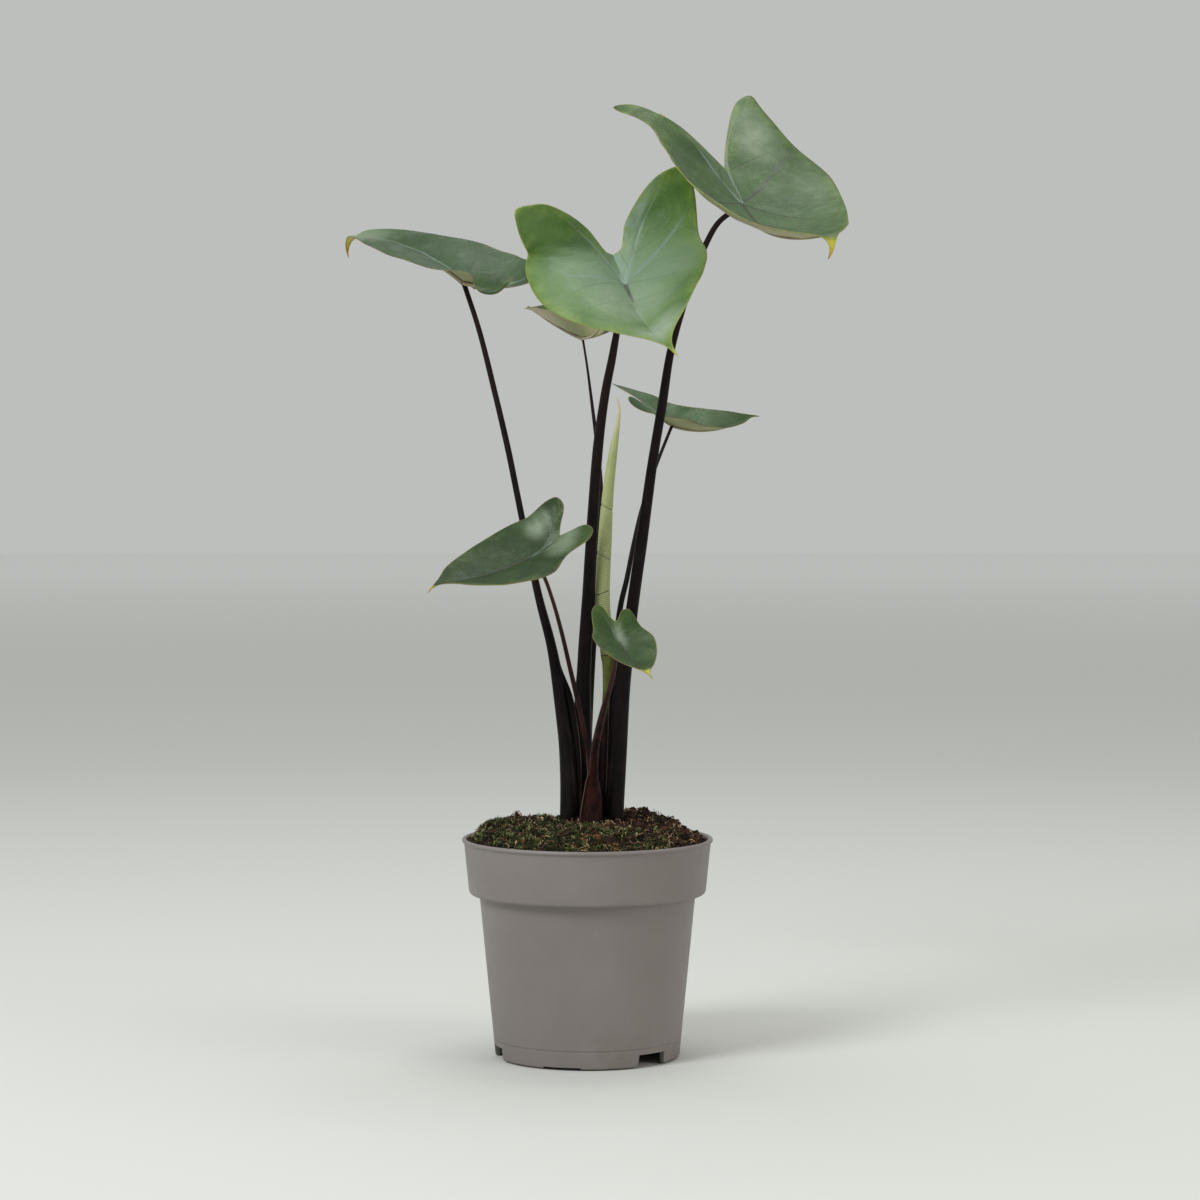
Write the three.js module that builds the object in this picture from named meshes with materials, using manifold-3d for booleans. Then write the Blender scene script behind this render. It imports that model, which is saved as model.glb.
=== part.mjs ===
// Potted black zebrina alocasia: a nursery pot, its soil, seven arrow-shaped leaves on dark
// leaf stalks, and one new leaf still rolled up. Millimetres, +Z up, the origin under the pot's
// middle on the surface that it stands on. The front of the plant looks along -Y.
import * as THREE from "three";
import { mergeVertices } from "three/addons/utils/BufferGeometryUtils.js";
import Module from "manifold-3d";

const wasm = await Module();
wasm.setup();

const GAP = 0.3;
const UP = new THREE.Vector3(0, 0, 1);

// Nursery pot, 12 cm across the lip
const POT_HEIGHT = 104.5;
const LIP_RADIUS = 60;
const LIP_THICK = 2;
const BAND_TOP_RADIUS = 59;
const BAND_FOOT_RADIUS = 56.7;
const BAND_HEIGHT = 25.7;
const BAND_ROUND = 2;
const BODY_TOP_RADIUS = 51.7;
const BODY_FOOT_RADIUS = 44.2;
const FOOT_ROUND = 1.1;
const WALL = 1.3;
const SKIRT_WALL = 2.5;
const FLOOR_UNDER = 6.5;
const FLOOR_TOP = 8.3;
const POT_SEGMENTS = 60;

// Notches in the foot: where their middle is, in degrees from the front towards +X
const NOTCH_COUNT = 3;
const TALL_NOTCH = { middle: 44, width: 22, height: 6 };
const SHALLOW_NOTCH = { middle: 104, width: 24, height: 1 };
const DRAIN_HOLE = { count: 6, ring: 31, radius: 3 };

// Soil, heaped a little above the lip, with two clumps that stand higher
const SOIL_RIM_Z = 103;
const SOIL_CROWN_Z = 112;
const SOIL_SEGMENTS = 36;
const SOIL_CLUMPS = [
  { at: [-42, 12], spread: 17, height: 4 },
  { at: [28, 28], spread: 17, height: 5 },
];
const SOIL_RELIEF = 0.6;

// Leaf blades
const BLADE_THICK = 0.8;
const MARGIN_THICK = 0.6;
const MIDRIB_BLEND = 4;
const RIB_SHARES = [0, 0.3, 0.6, 0.85, 1];
const CURVE_STEPS = 2;
const FRONT_RIBS = 4 * CURVE_STEPS;
const BEND_STEPS = 24;
const SOFT_START = 12;

// Each leaf is drawn flat, in millimetres from the point where its stalk meets it, and then bent.
// heading, pitch and roll turn the whole blade. arch and hook bend the midrib towards the tip,
// sway swings it sideways, rise lifts the back lobes, twist and backTwist turn the blade about
// its midrib. fold and curl lift and bend each half, lobeFold and lobeCurl do so at the lobe, and
// tipFold towards the tip. splay is a lobe's angle from the midrib's line. cup is half the width of
// a rounded sinus, and bulge how full a lobe is beside it. Angles are in degrees.
const LEAVES = {
  high_left: {
    at: [-60, 42, 371.1], heading: 135.7, pitch: 30.6, roll: 8.8,
    length: 95.4, sinus: 8, neck: 0.88, neckHalf: 0.05,
    arch: -31, hook: -116, hookFrom: 0.82, sway: -8, twist: -28, backTwist: 29, rise: 12, riseEnd: 0.6,
    left: {
      width: 31, shoulder: 0.38, lobe: 66, splay: 42.6, round: 6.3, outer: 0.58, offset: 12, inner: 0.61,
      fold: 20, curl: -37, lobeFold: 87, lobeCurl: -125, tipFold: 14,
    },
    right: {
      width: 32, shoulder: 0.57, lobe: 45, splay: 44.4, round: 6.7, outer: 0.72, offset: 30, inner: 0.64,
      fold: 54, curl: -51, lobeFold: 50, lobeCurl: 45, tipFold: 21,
    },
  },
  high_centre: {
    at: [17.5, -48, 366.4], heading: -78.6, pitch: -26.8, roll: 21.6,
    length: 85.4, sinus: 24, neck: 0.9, neckHalf: 0.03, cup: 4.5,
    arch: 9, hook: -40, hookFrom: 0.8, sway: 19, twist: 20, backTwist: 10, rise: 56, riseEnd: 0.6,
    left: {
      width: 41, shoulder: 0.53, lobe: 69, splay: 39.7, round: 6.5, outer: 0.64, offset: 28, inner: 0.8,
      fold: 10, curl: -9, lobeFold: -1, lobeCurl: -9, bulge: 0.42,
    },
    right: {
      width: 48, shoulder: 0.41, lobe: 73, splay: 40.7, round: 6, outer: 0.7, offset: 24, inner: 0.84,
      fold: 47, curl: -38, lobeFold: 61, lobeCurl: -28, bulge: 0.39,
    },
  },
  high_right: {
    at: [71.5, -50, 403.5], heading: -72.5, pitch: -33.5, roll: -21,
    length: 88, sinus: 31, neck: 0.9, neckHalf: 0.03,
    arch: 53, hook: -136, hookFrom: 0.8, sway: 21, twist: 3, backTwist: 28, rise: 8, riseEnd: 0.6,
    left: {
      width: 48, shoulder: 0.53, lobe: 93, splay: 16, round: 4.1, outer: 0.69, offset: 31, inner: 0.68,
      fold: 11, curl: 38, lobeFold: 0, lobeCurl: -15,
    },
    right: {
      width: 45, shoulder: 0.42, lobe: 83, splay: 41.5, round: 2.7, outer: 0.65, offset: 10, inner: 0.75,
      fold: -6, curl: 33, lobeFold: 51, lobeCurl: -69,
    },
  },
  back: {
    at: [-2.5, 64, 344.1], heading: 116.9, pitch: 10.3, roll: -3.1,
    length: 64.2, sinus: 4, neck: 0.89, neckHalf: 0.03,
    arch: 12, hook: -22, hookFrom: 0.8, sway: 5, twist: -12, backTwist: 0, rise: 8, riseEnd: 0.6,
    left: {
      width: 22, shoulder: 0.49, lobe: 44, splay: 26.2, round: 6.9, outer: 0.63, offset: 27, inner: 0.64,
      fold: 52, curl: -20, lobeFold: 79, lobeCurl: -2, tipFold: 45,
    },
    right: {
      width: 26, shoulder: 0.49, lobe: 39, splay: 34.4, round: 6.8, outer: 0.64, offset: 28, inner: 0.64,
      fold: 42, curl: -9, lobeFold: 50, lobeCurl: -8, tipFold: 28,
    },
  },
  mid_right: {
    at: [41, 35, 301.3], heading: 17.7, pitch: -18.7, roll: 7.9,
    length: 46.6, sinus: 10, neck: 0.89, neckHalf: 0.03,
    arch: 55, hook: -39, hookFrom: 0.8, sway: 12, twist: 16, backTwist: -16, rise: 17, riseEnd: 0.25,
    left: {
      width: 16, shoulder: 0.5, lobe: 38, splay: 38.7, round: 6.7, outer: 0.63, offset: 26, inner: 0.64,
      fold: 39, curl: -5, lobeFold: 16, lobeCurl: -2,
    },
    right: {
      width: 17, shoulder: 0.49, lobe: 38, splay: 34.2, round: 6.2, outer: 0.62, offset: 26, inner: 0.64,
      fold: 22, curl: -5, lobeFold: -5, lobeCurl: -27,
    },
  },
  mid_left: {
    at: [-26, -35, 240], heading: 201, pitch: -25, roll: -23,
    length: 56, sinus: 17, neck: 0.89, neckHalf: 0.03,
    arch: 30, hook: -56, hookFrom: 0.8, sway: 2, twist: 4, backTwist: -14, rise: 30, riseEnd: 0.6,
    left: {
      width: 24, shoulder: 0.48, lobe: 33, splay: 28, round: 8, outer: 0.61, offset: 24, inner: 0.68,
      fold: 15, curl: -15, lobeFold: 13, lobeCurl: -12,
    },
    right: {
      width: 24, shoulder: 0.48, lobe: 33, splay: 23, round: 7.9, outer: 0.72, offset: 31, inner: 0.63,
      fold: 18, curl: -8, lobeFold: 21, lobeCurl: -5,
    },
  },
  low: {
    at: [15, -50, 201.5], heading: -72, pitch: -29, roll: -4,
    length: 39, sinus: 13, neck: 0.89, neckHalf: 0.03,
    arch: 18, hook: -25, hookFrom: 0.8, sway: 18, twist: -4, backTwist: -1, rise: 33, riseEnd: 0.6,
    left: {
      width: 16, shoulder: 0.48, lobe: 20, splay: 22, round: 8.1, outer: 0.75, offset: 33, inner: 0.65,
      fold: 20, curl: -7, lobeFold: 17, lobeCurl: -6,
    },
    right: {
      width: 14, shoulder: 0.48, lobe: 22, splay: 24, round: 8.3, outer: 0.62, offset: 34, inner: 0.67,
      fold: 14, curl: -13, lobeFold: 12, lobeCurl: -14,
    },
  },
};

// Leaf stalks, from the soil up: x, y, z and half the stalk's width, and half its depth where
// that differs. Each one ends under its blade.
const STALK_FOOT_Z = 96.5;
const STALK_SIDES = 8;
const STALKS = {
  high_left: [
    [-8.4, 1, 116.5, 4.8], [-8.8, 2.5, 134.5, 4.4], [-10.3, 4, 151.5, 3.8], [-13.6, 7, 174.5, 3.1],
    [-17.3, 10, 195.5, 2.4], [-23.3, 14, 218.5, 2], [-31.6, 22, 256.5, 1.6], [-38.4, 28, 289.5, 1.5],
    [-45.3, 34, 318.5, 1.4], [-52.7, 38, 347.5, 1.3],
  ],
  high_centre: [
    [-1, 8, 114.5, 3.8], [-1.6, 8.5, 141.5, 4], [-1.9, 6, 163.5, 3.7], [-1.4, 0, 189.5, 3.4],
    [0.5, -8, 220.5, 3.1], [2.5, -19, 256.5, 2.7], [5.2, -29, 292.5, 2.4], [8.8, -37, 318.5, 2.1],
    [11.6, -42, 332.5, 1.9], [13.9, -45.5, 345.5, 1.6],
  ],
  high_right: [
    [12.7, 0, 116.5, 4.8], [13.9, -1, 134.5, 4.5], [15.1, -3, 153.5, 4.2], [16.5, -6, 175.5, 3.9],
    [21.2, -12, 214.5, 3], [26, -18, 249.5, 2.8], [31.2, -24, 287.5, 2.3], [35, -28, 310.5, 2.2],
    [39.1, -32, 336.5, 1.9], [44.2, -35, 355.5, 1.7], [49.2, -38, 370.5, 1.5], [55.1, -41, 385.5, 1.4],
    [61, -45, 395.5, 1.3],
  ],
  back: [
    [-1, 14.5, 115.5, 2.2], [1.2, 20, 168.5, 1.7], [4.1, 30, 216.5, 1.5], [6, 38, 250.5, 1.3],
    [6.3, 43, 271.5, 1.2], [4.3, 49, 293.5, 1], [2.2, 54, 310.5, 0.8], [-0.4, 60, 330.5, 0.6],
  ],
  mid_right: [
    [9.5, 10, 115.5, 2.2], [12, 13, 169.5, 1.7], [15.6, 18, 212.5, 1.4], [19, 20, 227.5, 1.3],
    [22.1, 22, 243.5, 1.1], [25.8, 25, 259.5, 1], [30.2, 28, 273.5, 0.9], [35, 31, 286.5, 0.8],
  ],
  mid_left: [
    [2.5, 0.5, 116.5, 1.9], [1.9, -1.5, 132.5, 1.6], [0.5, -4, 145.5, 1.3], [-5.2, -12, 173.5, 1.2],
    [-7.9, -16, 185.5, 1.1], [-12.4, -24, 205.5, 1], [-16.5, -30, 220.5, 0.9], [-20.5, -34, 231.5, 0.9],
  ],
  low: [
    [1.5, -7.5, 114.5, 5.7, 4.6], [2.4, -10.5, 126.5, 4.4, 3.4], [2.7, -15, 136.5, 2.6, 2.4],
    [3.4, -21, 146.5, 2.1], [4.6, -26, 154.5, 1.9], [7.9, -34, 169.5, 1.5], [10.9, -41, 180.5, 1.2],
  ],
};

// The new leaf, rolled into a spindle on a stalk of its own
const ROLLED_FROM_Z = 192.5;
const ROLLED_STALK = [
  [6.7, 5, 116.5, 2.2], [7.9, 3, 146.5, 1.9], [8.8, 0, 170.5, 1.7],
  [9.2, -1, 177.5, 1.9], [9.9, -2.7, 188.5, 3],
];
const ROLLED_BLADE = [
  [9.6, -3, ROLLED_FROM_Z, 3.5], [7.4, -5, 218.5, 3.7], [8.4, -7, 246.5, 3.5], [10, -8, 270.5, 2.8],
  [12.4, -8, 289.5, 2.1], [14.7, -8, 304.5, 1], [15, -8, 310.5, 0.6], [13.9, -8, 314.5, 0.3],
];

const COLOURS = {
  pot: 0x8d837e,
  soil: 0x2b2119,
  blade: 0x4a6b46,
  stalk: 0x211a1e,
  redStalk: 0x4a2a29,
  rolled: 0xa9b16f,
};

function material(name, roughness) {
  const look = { color: COLOURS[name], roughness, metalness: 0, side: THREE.DoubleSide };
  return new THREE.MeshStandardMaterial(look);
}

const POT_MATERIAL = material("pot", 0.6);
const SOIL_MATERIAL = material("soil", 1);
const BLADE_MATERIAL = material("blade", 0.45);
const STALK_MATERIAL = material("stalk", 0.4);
const RED_STALK_MATERIAL = material("redStalk", 0.45);
const ROLLED_MATERIAL = material("rolled", 0.5);

const radians = THREE.MathUtils.degToRad;
const smooth = (x, from, to) => THREE.MathUtils.smoothstep(x, from, to);

// Solids and meshes

function indexed(points, faces) {
  const geometry = new THREE.BufferGeometry();
  geometry.setAttribute("position", new THREE.Float32BufferAttribute(points.flat(), 3));
  geometry.setIndex(faces.flat());
  geometry.computeVertexNormals();
  return geometry;
}

function toSolid(geometry) {
  const bare = geometry.clone();
  bare.deleteAttribute("normal");
  bare.deleteAttribute("uv");
  const merged = mergeVertices(bare, 1e-4);
  const vertProperties = new Float32Array(merged.attributes.position.array);
  const triVerts = new Uint32Array(merged.index.array);
  return new wasm.Manifold(new wasm.Mesh({ numProp: 3, vertProperties, triVerts }));
}

function toGeometry(solid) {
  const mesh = solid.getMesh();
  const geometry = new THREE.BufferGeometry();
  geometry.setAttribute("position", new THREE.BufferAttribute(new Float32Array(mesh.vertProperties), 3));
  geometry.setIndex(new THREE.BufferAttribute(new Uint32Array(mesh.triVerts), 1));
  geometry.computeVertexNormals();
  return geometry;
}

function named(name, geometry, meshMaterial) {
  const mesh = new THREE.Mesh(geometry, meshMaterial);
  mesh.name = name;
  return mesh;
}

// A closed profile of [radius, z] points, counterclockwise, turned about Z
function turned(profile, segments) {
  const points = [...profile, profile[0]].map(([r, z]) => new THREE.Vector2(r, z));
  return new THREE.LatheGeometry(points, segments).rotateX(Math.PI / 2);
}

function arcPoints(cx, cz, radius, from, to, steps) {
  return Array.from({ length: steps + 1 }, (_, i) => {
    const a = radians(from + ((to - from) * i) / steps);
    return [cx + radius * Math.cos(a), cz + radius * Math.sin(a)];
  });
}

// Pot

const BAND_FOOT_Z = POT_HEIGHT - LIP_THICK - BAND_HEIGHT + 1;
const wallInner = (outer) => outer - WALL;

function potProfile() {
  const lipMid = POT_HEIGHT - LIP_THICK / 2;
  const footCentre = BODY_FOOT_RADIUS - FOOT_ROUND;
  const bandCorner = BAND_FOOT_RADIUS - BAND_ROUND;
  return [
    [BODY_FOOT_RADIUS - SKIRT_WALL, 0],
    ...arcPoints(footCentre, FOOT_ROUND, FOOT_ROUND, -90, 0, 3),
    [BODY_TOP_RADIUS, BAND_FOOT_Z],
    ...arcPoints(bandCorner, BAND_FOOT_Z + BAND_ROUND, BAND_ROUND, -90, 0, 3),
    [BAND_TOP_RADIUS, POT_HEIGHT - LIP_THICK],
    ...arcPoints(LIP_RADIUS - LIP_THICK / 2, lipMid, LIP_THICK / 2, -60, 90, 4),
    [wallInner(BAND_TOP_RADIUS), POT_HEIGHT - 0.6],
    [wallInner(BAND_FOOT_RADIUS), BAND_FOOT_Z + BAND_ROUND + 1],
    [wallInner(BODY_TOP_RADIUS), BAND_FOOT_Z + WALL],
    [wallInner(BODY_FOOT_RADIUS) + 0.7, FLOOR_TOP],
    [0, FLOOR_TOP],
    [0, FLOOR_UNDER],
    [BODY_FOOT_RADIUS - SKIRT_WALL, FLOOR_UNDER],
  ];
}

function notchCutter({ middle, width, height }) {
  const inside = BODY_FOOT_RADIUS - SKIRT_WALL - 3;
  const outside = BODY_FOOT_RADIUS + 4;
  // The front is at -90 degrees round from +X
  const from = radians(middle - 90 - width / 2);
  const to = radians(middle - 90 + width / 2);
  const sector = new THREE.Shape();
  sector.absarc(0, 0, outside, from, to, false);
  sector.absarc(0, 0, inside, to, from, true);
  const options = { depth: height + 1, bevelEnabled: false, curveSegments: 4 };
  return new THREE.ExtrudeGeometry(sector, options).translate(0, 0, -1);
}

function makePot() {
  let pot = toSolid(turned(potProfile(), POT_SEGMENTS));
  for (const notch of [TALL_NOTCH, SHALLOW_NOTCH]) {
    const cutter = toSolid(notchCutter(notch));
    for (let i = 0; i < NOTCH_COUNT; i++) {
      pot = pot.subtract(cutter.rotate([0, 0, (360 / NOTCH_COUNT) * i]));
    }
  }
  const floorMiddle = (FLOOR_TOP + FLOOR_UNDER) / 2;
  for (let i = 0; i < DRAIN_HOLE.count; i++) {
    const a = (2 * Math.PI * i) / DRAIN_HOLE.count;
    const drill = new THREE.CylinderGeometry(DRAIN_HOLE.radius, DRAIN_HOLE.radius, 4, 10);
    drill.rotateX(Math.PI / 2);
    drill.translate(DRAIN_HOLE.ring * Math.cos(a), DRAIN_HOLE.ring * Math.sin(a), floorMiddle);
    pot = pot.subtract(toSolid(drill));
  }
  return named("pot", toGeometry(pot), POT_MATERIAL);
}

// Soil

function soilRelief(x, y) {
  const crumbs = Math.sin(0.31 * x + 1.7) * Math.cos(0.27 * y - 0.4) + 0.6 * Math.sin(0.53 * x - 0.41 * y);
  let lift = SOIL_RELIEF * crumbs;
  for (const clump of SOIL_CLUMPS) {
    const away = Math.hypot(x - clump.at[0], y - clump.at[1]) / clump.spread;
    lift += clump.height * Math.exp(-away * away);
  }
  return lift;
}

function soilProfile() {
  const side = (outer) => wallInner(outer) - GAP;
  const dome = [1, 0.86, 0.68, 0.46, 0.22].map((share) => {
    const r = side(BAND_TOP_RADIUS) * share;
    return [r, SOIL_RIM_Z + (SOIL_CROWN_Z - SOIL_RIM_Z) * (1 - share ** 2.4)];
  });
  return [
    [0, FLOOR_TOP + GAP],
    [side(BODY_FOOT_RADIUS) + 0.7, FLOOR_TOP + GAP],
    [side(BODY_TOP_RADIUS), BAND_FOOT_Z + WALL],
    [side(BAND_FOOT_RADIUS), BAND_FOOT_Z + BAND_ROUND + 1 + GAP],
    ...dome,
    [0, SOIL_CROWN_Z],
  ];
}

function makeSoil(stalkRoutes) {
  const heap = turned(soilProfile(), SOIL_SEGMENTS);
  const at = heap.attributes.position;
  for (let i = 0; i < at.count; i++) {
    const fade = smooth(at.getZ(i), SOIL_RIM_Z, SOIL_RIM_Z + 3);
    if (fade > 0) at.setZ(i, at.getZ(i) + fade * soilRelief(at.getX(i), at.getY(i)));
  }
  let soil = toSolid(heap);
  for (const route of stalkRoutes) soil = soil.subtract(toSolid(stalkGeometry(route, GAP)));
  return named("soil", toGeometry(soil), SOIL_MATERIAL);
}

// Blades

function polar(radius, degrees) {
  return [radius * Math.cos(radians(degrees)), radius * Math.sin(radians(degrees))];
}

// One half of the flat outline, from the tip to the sinus, on the left
function halfOutline(leaf, half) {
  const back = 180 - half.splay;
  const key = [
    [leaf.length, 0],
    [leaf.neck * leaf.length, leaf.neckHalf * leaf.length],
    [0.7 * leaf.length, half.shoulder * half.width],
    [0.38 * leaf.length, 0.86 * half.width],
    [0.02 * leaf.length, half.width],
    polar(half.outer * half.lobe, back - half.offset),
    polar(0.93 * half.lobe, back - half.round),
    polar(half.lobe, back),
    polar(0.93 * half.lobe, back + half.round),
    polar(half.inner * half.lobe, back + 2 * half.round),
    [-leaf.sinus, 0],
  ];
  if (leaf.cup) {
    const [x, y] = key[9];
    key.splice(10, 0, [(x - leaf.sinus) / 2, half.bulge * y], [-leaf.sinus - 0.3 * leaf.cup, leaf.cup]);
  }
  const curve = new THREE.CatmullRomCurve3(key.map(([x, y]) => new THREE.Vector3(x, y, 0)));
  const steps = (key.length - 1) * CURVE_STEPS;
  return Array.from({ length: steps + 1 }, (_, i) => curve.getPoint(i / steps)).map((p) => [p.x, p.y]);
}

// Slope, sideways swing and twist of the midrib at x
function midribAngles(leaf, x) {
  const lobes = Math.max(leaf.left.lobe, leaf.right.lobe);
  const twist = (leaf.twist * softRamp(x)) / leaf.length + (leaf.backTwist * softRamp(-x)) / lobes;
  if (x < 0) {
    const slope = -leaf.rise * smooth(-x / lobes, 0, leaf.riseEnd);
    return [radians(slope), 0, radians(twist)];
  }
  const u = x / leaf.length;
  const slope = leaf.arch * u + leaf.hook * smooth(u, leaf.hookFrom, 1);
  return [radians(slope), radians(leaf.sway * u * u), radians(twist)];
}

// Grows from 0 like x, with a soft start
function softRamp(x) {
  const near = Math.min(Math.max(x + SOFT_START, 0), 2 * SOFT_START);
  return (near * near) / (4 * SOFT_START) + Math.max(x - SOFT_START, 0);
}

const along = (slope, swing) =>
  new THREE.Vector3(Math.cos(slope) * Math.cos(swing), Math.cos(slope) * Math.sin(swing), Math.sin(slope));

// A point of the flat leaf, bent to its place: x runs along the midrib and y to the left
function bent(leaf, x, y) {
  const point = new THREE.Vector3();
  for (let i = 0; i < BEND_STEPS; i++) {
    const [slope, swing] = midribAngles(leaf, (x * (i + 0.5)) / BEND_STEPS);
    point.addScaledVector(along(slope, swing), x / BEND_STEPS);
  }
  const [slope, swing, twist] = midribAngles(leaf, x);
  const level = new THREE.Vector3(-Math.sin(swing), Math.cos(swing), 0);
  const normal = along(slope, swing).cross(level);
  const side = level.clone().multiplyScalar(Math.cos(twist)).addScaledVector(normal, Math.sin(twist));
  const up = normal.multiplyScalar(Math.cos(twist)).addScaledVector(level, -Math.sin(twist));
  const half = y >= 0 ? leaf.left : leaf.right;
  const front = smooth(x, -0.85 * half.lobe, 0.15 * leaf.length);
  const towardsTip = smooth(x, 0, 0.75 * leaf.length) * ((half.tipFold ?? half.fold) - half.fold);
  const fold = half.lobeFold + (half.fold - half.lobeFold) * front + towardsTip;
  const curl = half.lobeCurl + (half.curl - half.lobeCurl) * front;
  const away = Math.abs(y);
  for (let i = 0; i < BEND_STEPS; i++) {
    const angle = radians(fold + (curl * away * (i + 0.5)) / BEND_STEPS / half.width);
    point.addScaledVector(side, (Math.sign(y) * Math.cos(angle) * away) / BEND_STEPS);
    point.addScaledVector(up, (Math.sin(angle) * away) / BEND_STEPS);
  }
  return point;
}

// Ribs from the midrib's line out to the margin, on both sides: flat points by side, rib and share
function ribs(leaf) {
  const [left, right] = [halfOutline(leaf, leaf.left), halfOutline(leaf, leaf.right)];
  const last = left.length - 1;
  const level = (i) => (left[i][0] + right[i][0]) / 2;
  const root = (i) => {
    if (i <= FRONT_RIBS) return level(i);
    const share = ((i - FRONT_RIBS) / (last - FRONT_RIBS)) ** 2;
    return THREE.MathUtils.lerp(level(FRONT_RIBS), -leaf.sinus, share);
  };
  return [left, right].map((outline, side) =>
    outline.map(([x, y], i) =>
      RIB_SHARES.map((share) => [root(i) + (x - root(i)) * share, (side === 0 ? y : -y) * share]),
    ),
  );
}

// A closed skin either side of the bent surface, with the same triangles on both faces
function bladeGeometry(leaf, extra = 0) {
  const flat = [];
  const places = new Map();
  const vertex = ([x, y]) => {
    const place = `${x.toFixed(3)} ${Math.abs(y) < 5e-4 ? 0 : y.toFixed(3)}`;
    if (!places.has(place)) places.set(place, flat.push([x, y]) - 1);
    return places.get(place);
  };
  const grid = ribs(leaf).map((side) => side.map((rib) => rib.map(vertex)));
  const faces = [];
  const margin = [];
  const quad = (list, a, b, c, d) => {
    for (const face of [[a, b, c], [a, c, d]]) if (new Set(face).size === 3) list.push(face);
  };
  const outermost = RIB_SHARES.length - 1;
  for (let i = 0; i + 1 < grid[0].length; i++) {
    const [l, r] = grid.map((side) => [side[i], side[i + 1]]);
    for (let j = 0; j < outermost; j++) {
      quad(faces, l[0][j], l[0][j + 1], l[1][j + 1], l[1][j]);
      quad(faces, r[0][j], r[1][j], r[1][j + 1], r[0][j + 1]);
    }
    margin.push([l[0][outermost], l[1][outermost]], [r[1][outermost], r[0][outermost]]);
  }
  const middle = flat.map(([x, y]) => bent(leaf, x, y));
  const normals = indexed(middle.map((p) => p.toArray()), faces).attributes.normal;
  const normalAt = (i) => new THREE.Vector3().fromBufferAttribute(normals, i);
  const opposite = [];
  grid.forEach((side, k) => {
    side.forEach((rib, i) => rib.forEach((v, j) => (opposite[v] = grid[1 - k][i][j])));
  });
  const onMargin = new Set(margin.flat());
  // Close to the midrib, both halves are thickened the same way, so that their skins don't cross
  const skin = (sign) =>
    middle.map((p, i) => {
      const shared = 1 - smooth(Math.abs(flat[i][1]), 0, MIDRIB_BLEND);
      const outward = normalAt(i).addScaledVector(normalAt(opposite[i]), shared).normalize();
      const thick = extra + (onMargin.has(i) ? MARGIN_THICK : BLADE_THICK);
      return p.clone().addScaledVector(outward, (sign * thick) / 2).toArray();
    });
  const under = (v) => v + flat.length;
  const all = [...faces, ...faces.map(([a, b, c]) => [under(a), under(c), under(b)])];
  for (const [a, b] of margin) quad(all, a, under(a), under(b), b);
  return indexed([...skin(1), ...skin(-1)], all);
}

function placeBlade(leaf, mesh) {
  mesh.position.set(...leaf.at);
  mesh.rotation.set(radians(leaf.roll), -radians(leaf.pitch), radians(leaf.heading), "ZYX");
  mesh.updateMatrixWorld();
  return mesh;
}

// Stalks

// A closed tapering tube through [x, y, z, half width, half depth] points
function stalkGeometry(route, extra = 0) {
  const curve = new THREE.CatmullRomCurve3(route.map(([x, y, z]) => new THREE.Vector3(x, y, z)));
  const steps = route.length - 1;
  const points = [];
  const faces = [];
  for (let i = 0; i <= steps; i++) {
    const centre = curve.getPoint(i / steps);
    const tangent = curve.getTangent(i / steps);
    const deep = new THREE.Vector3().crossVectors(tangent, new THREE.Vector3(1, 0, 0)).normalize();
    const wide = new THREE.Vector3().crossVectors(deep, tangent).normalize();
    const halfWidth = route[i][3] + extra;
    const halfDepth = (route[i][4] ?? route[i][3]) + extra;
    for (let k = 0; k < STALK_SIDES; k++) {
      const a = (2 * Math.PI * k) / STALK_SIDES;
      const p = centre.clone().addScaledVector(wide, halfWidth * Math.cos(a));
      points.push(p.addScaledVector(deep, halfDepth * Math.sin(a)).toArray());
    }
  }
  for (let i = 0; i < steps; i++) {
    for (let k = 0; k < STALK_SIDES; k++) {
      const [a, b] = [i * STALK_SIDES + k, i * STALK_SIDES + ((k + 1) % STALK_SIDES)];
      faces.push([a, b, b + STALK_SIDES], [a, b + STALK_SIDES, a + STALK_SIDES]);
    }
  }
  const last = steps * STALK_SIDES;
  for (let k = 1; k < STALK_SIDES - 1; k++) {
    faces.push([0, k + 1, k], [last, last + k, last + k + 1]);
  }
  return indexed(points, faces);
}

// The stalk stands straight down into the soil below its first point
function rooted(route) {
  const [x, y, , ...size] = route[0];
  return [[x, y, STALK_FOOT_Z, ...size], ...route];
}

// The stalk runs on through its blade, and is then cut off just under it
function stalkUnder(route, leaf, blade) {
  const last = route[route.length - 1];
  const top = new THREE.Vector3(...leaf.at).addScaledVector(UP, 2);
  const whole = toSolid(stalkGeometry([...route, [...top.toArray(), last[3]]]));
  const thick = placeBlade(leaf, new THREE.Mesh(bladeGeometry(leaf, 2 * GAP)));
  const cut = whole.subtract(toSolid(thick.geometry.clone().applyMatrix4(thick.matrixWorld)));
  const pieces = cut.decompose().sort((a, b) => b.volume() - a.volume());
  return toGeometry(pieces[0]);
}

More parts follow.
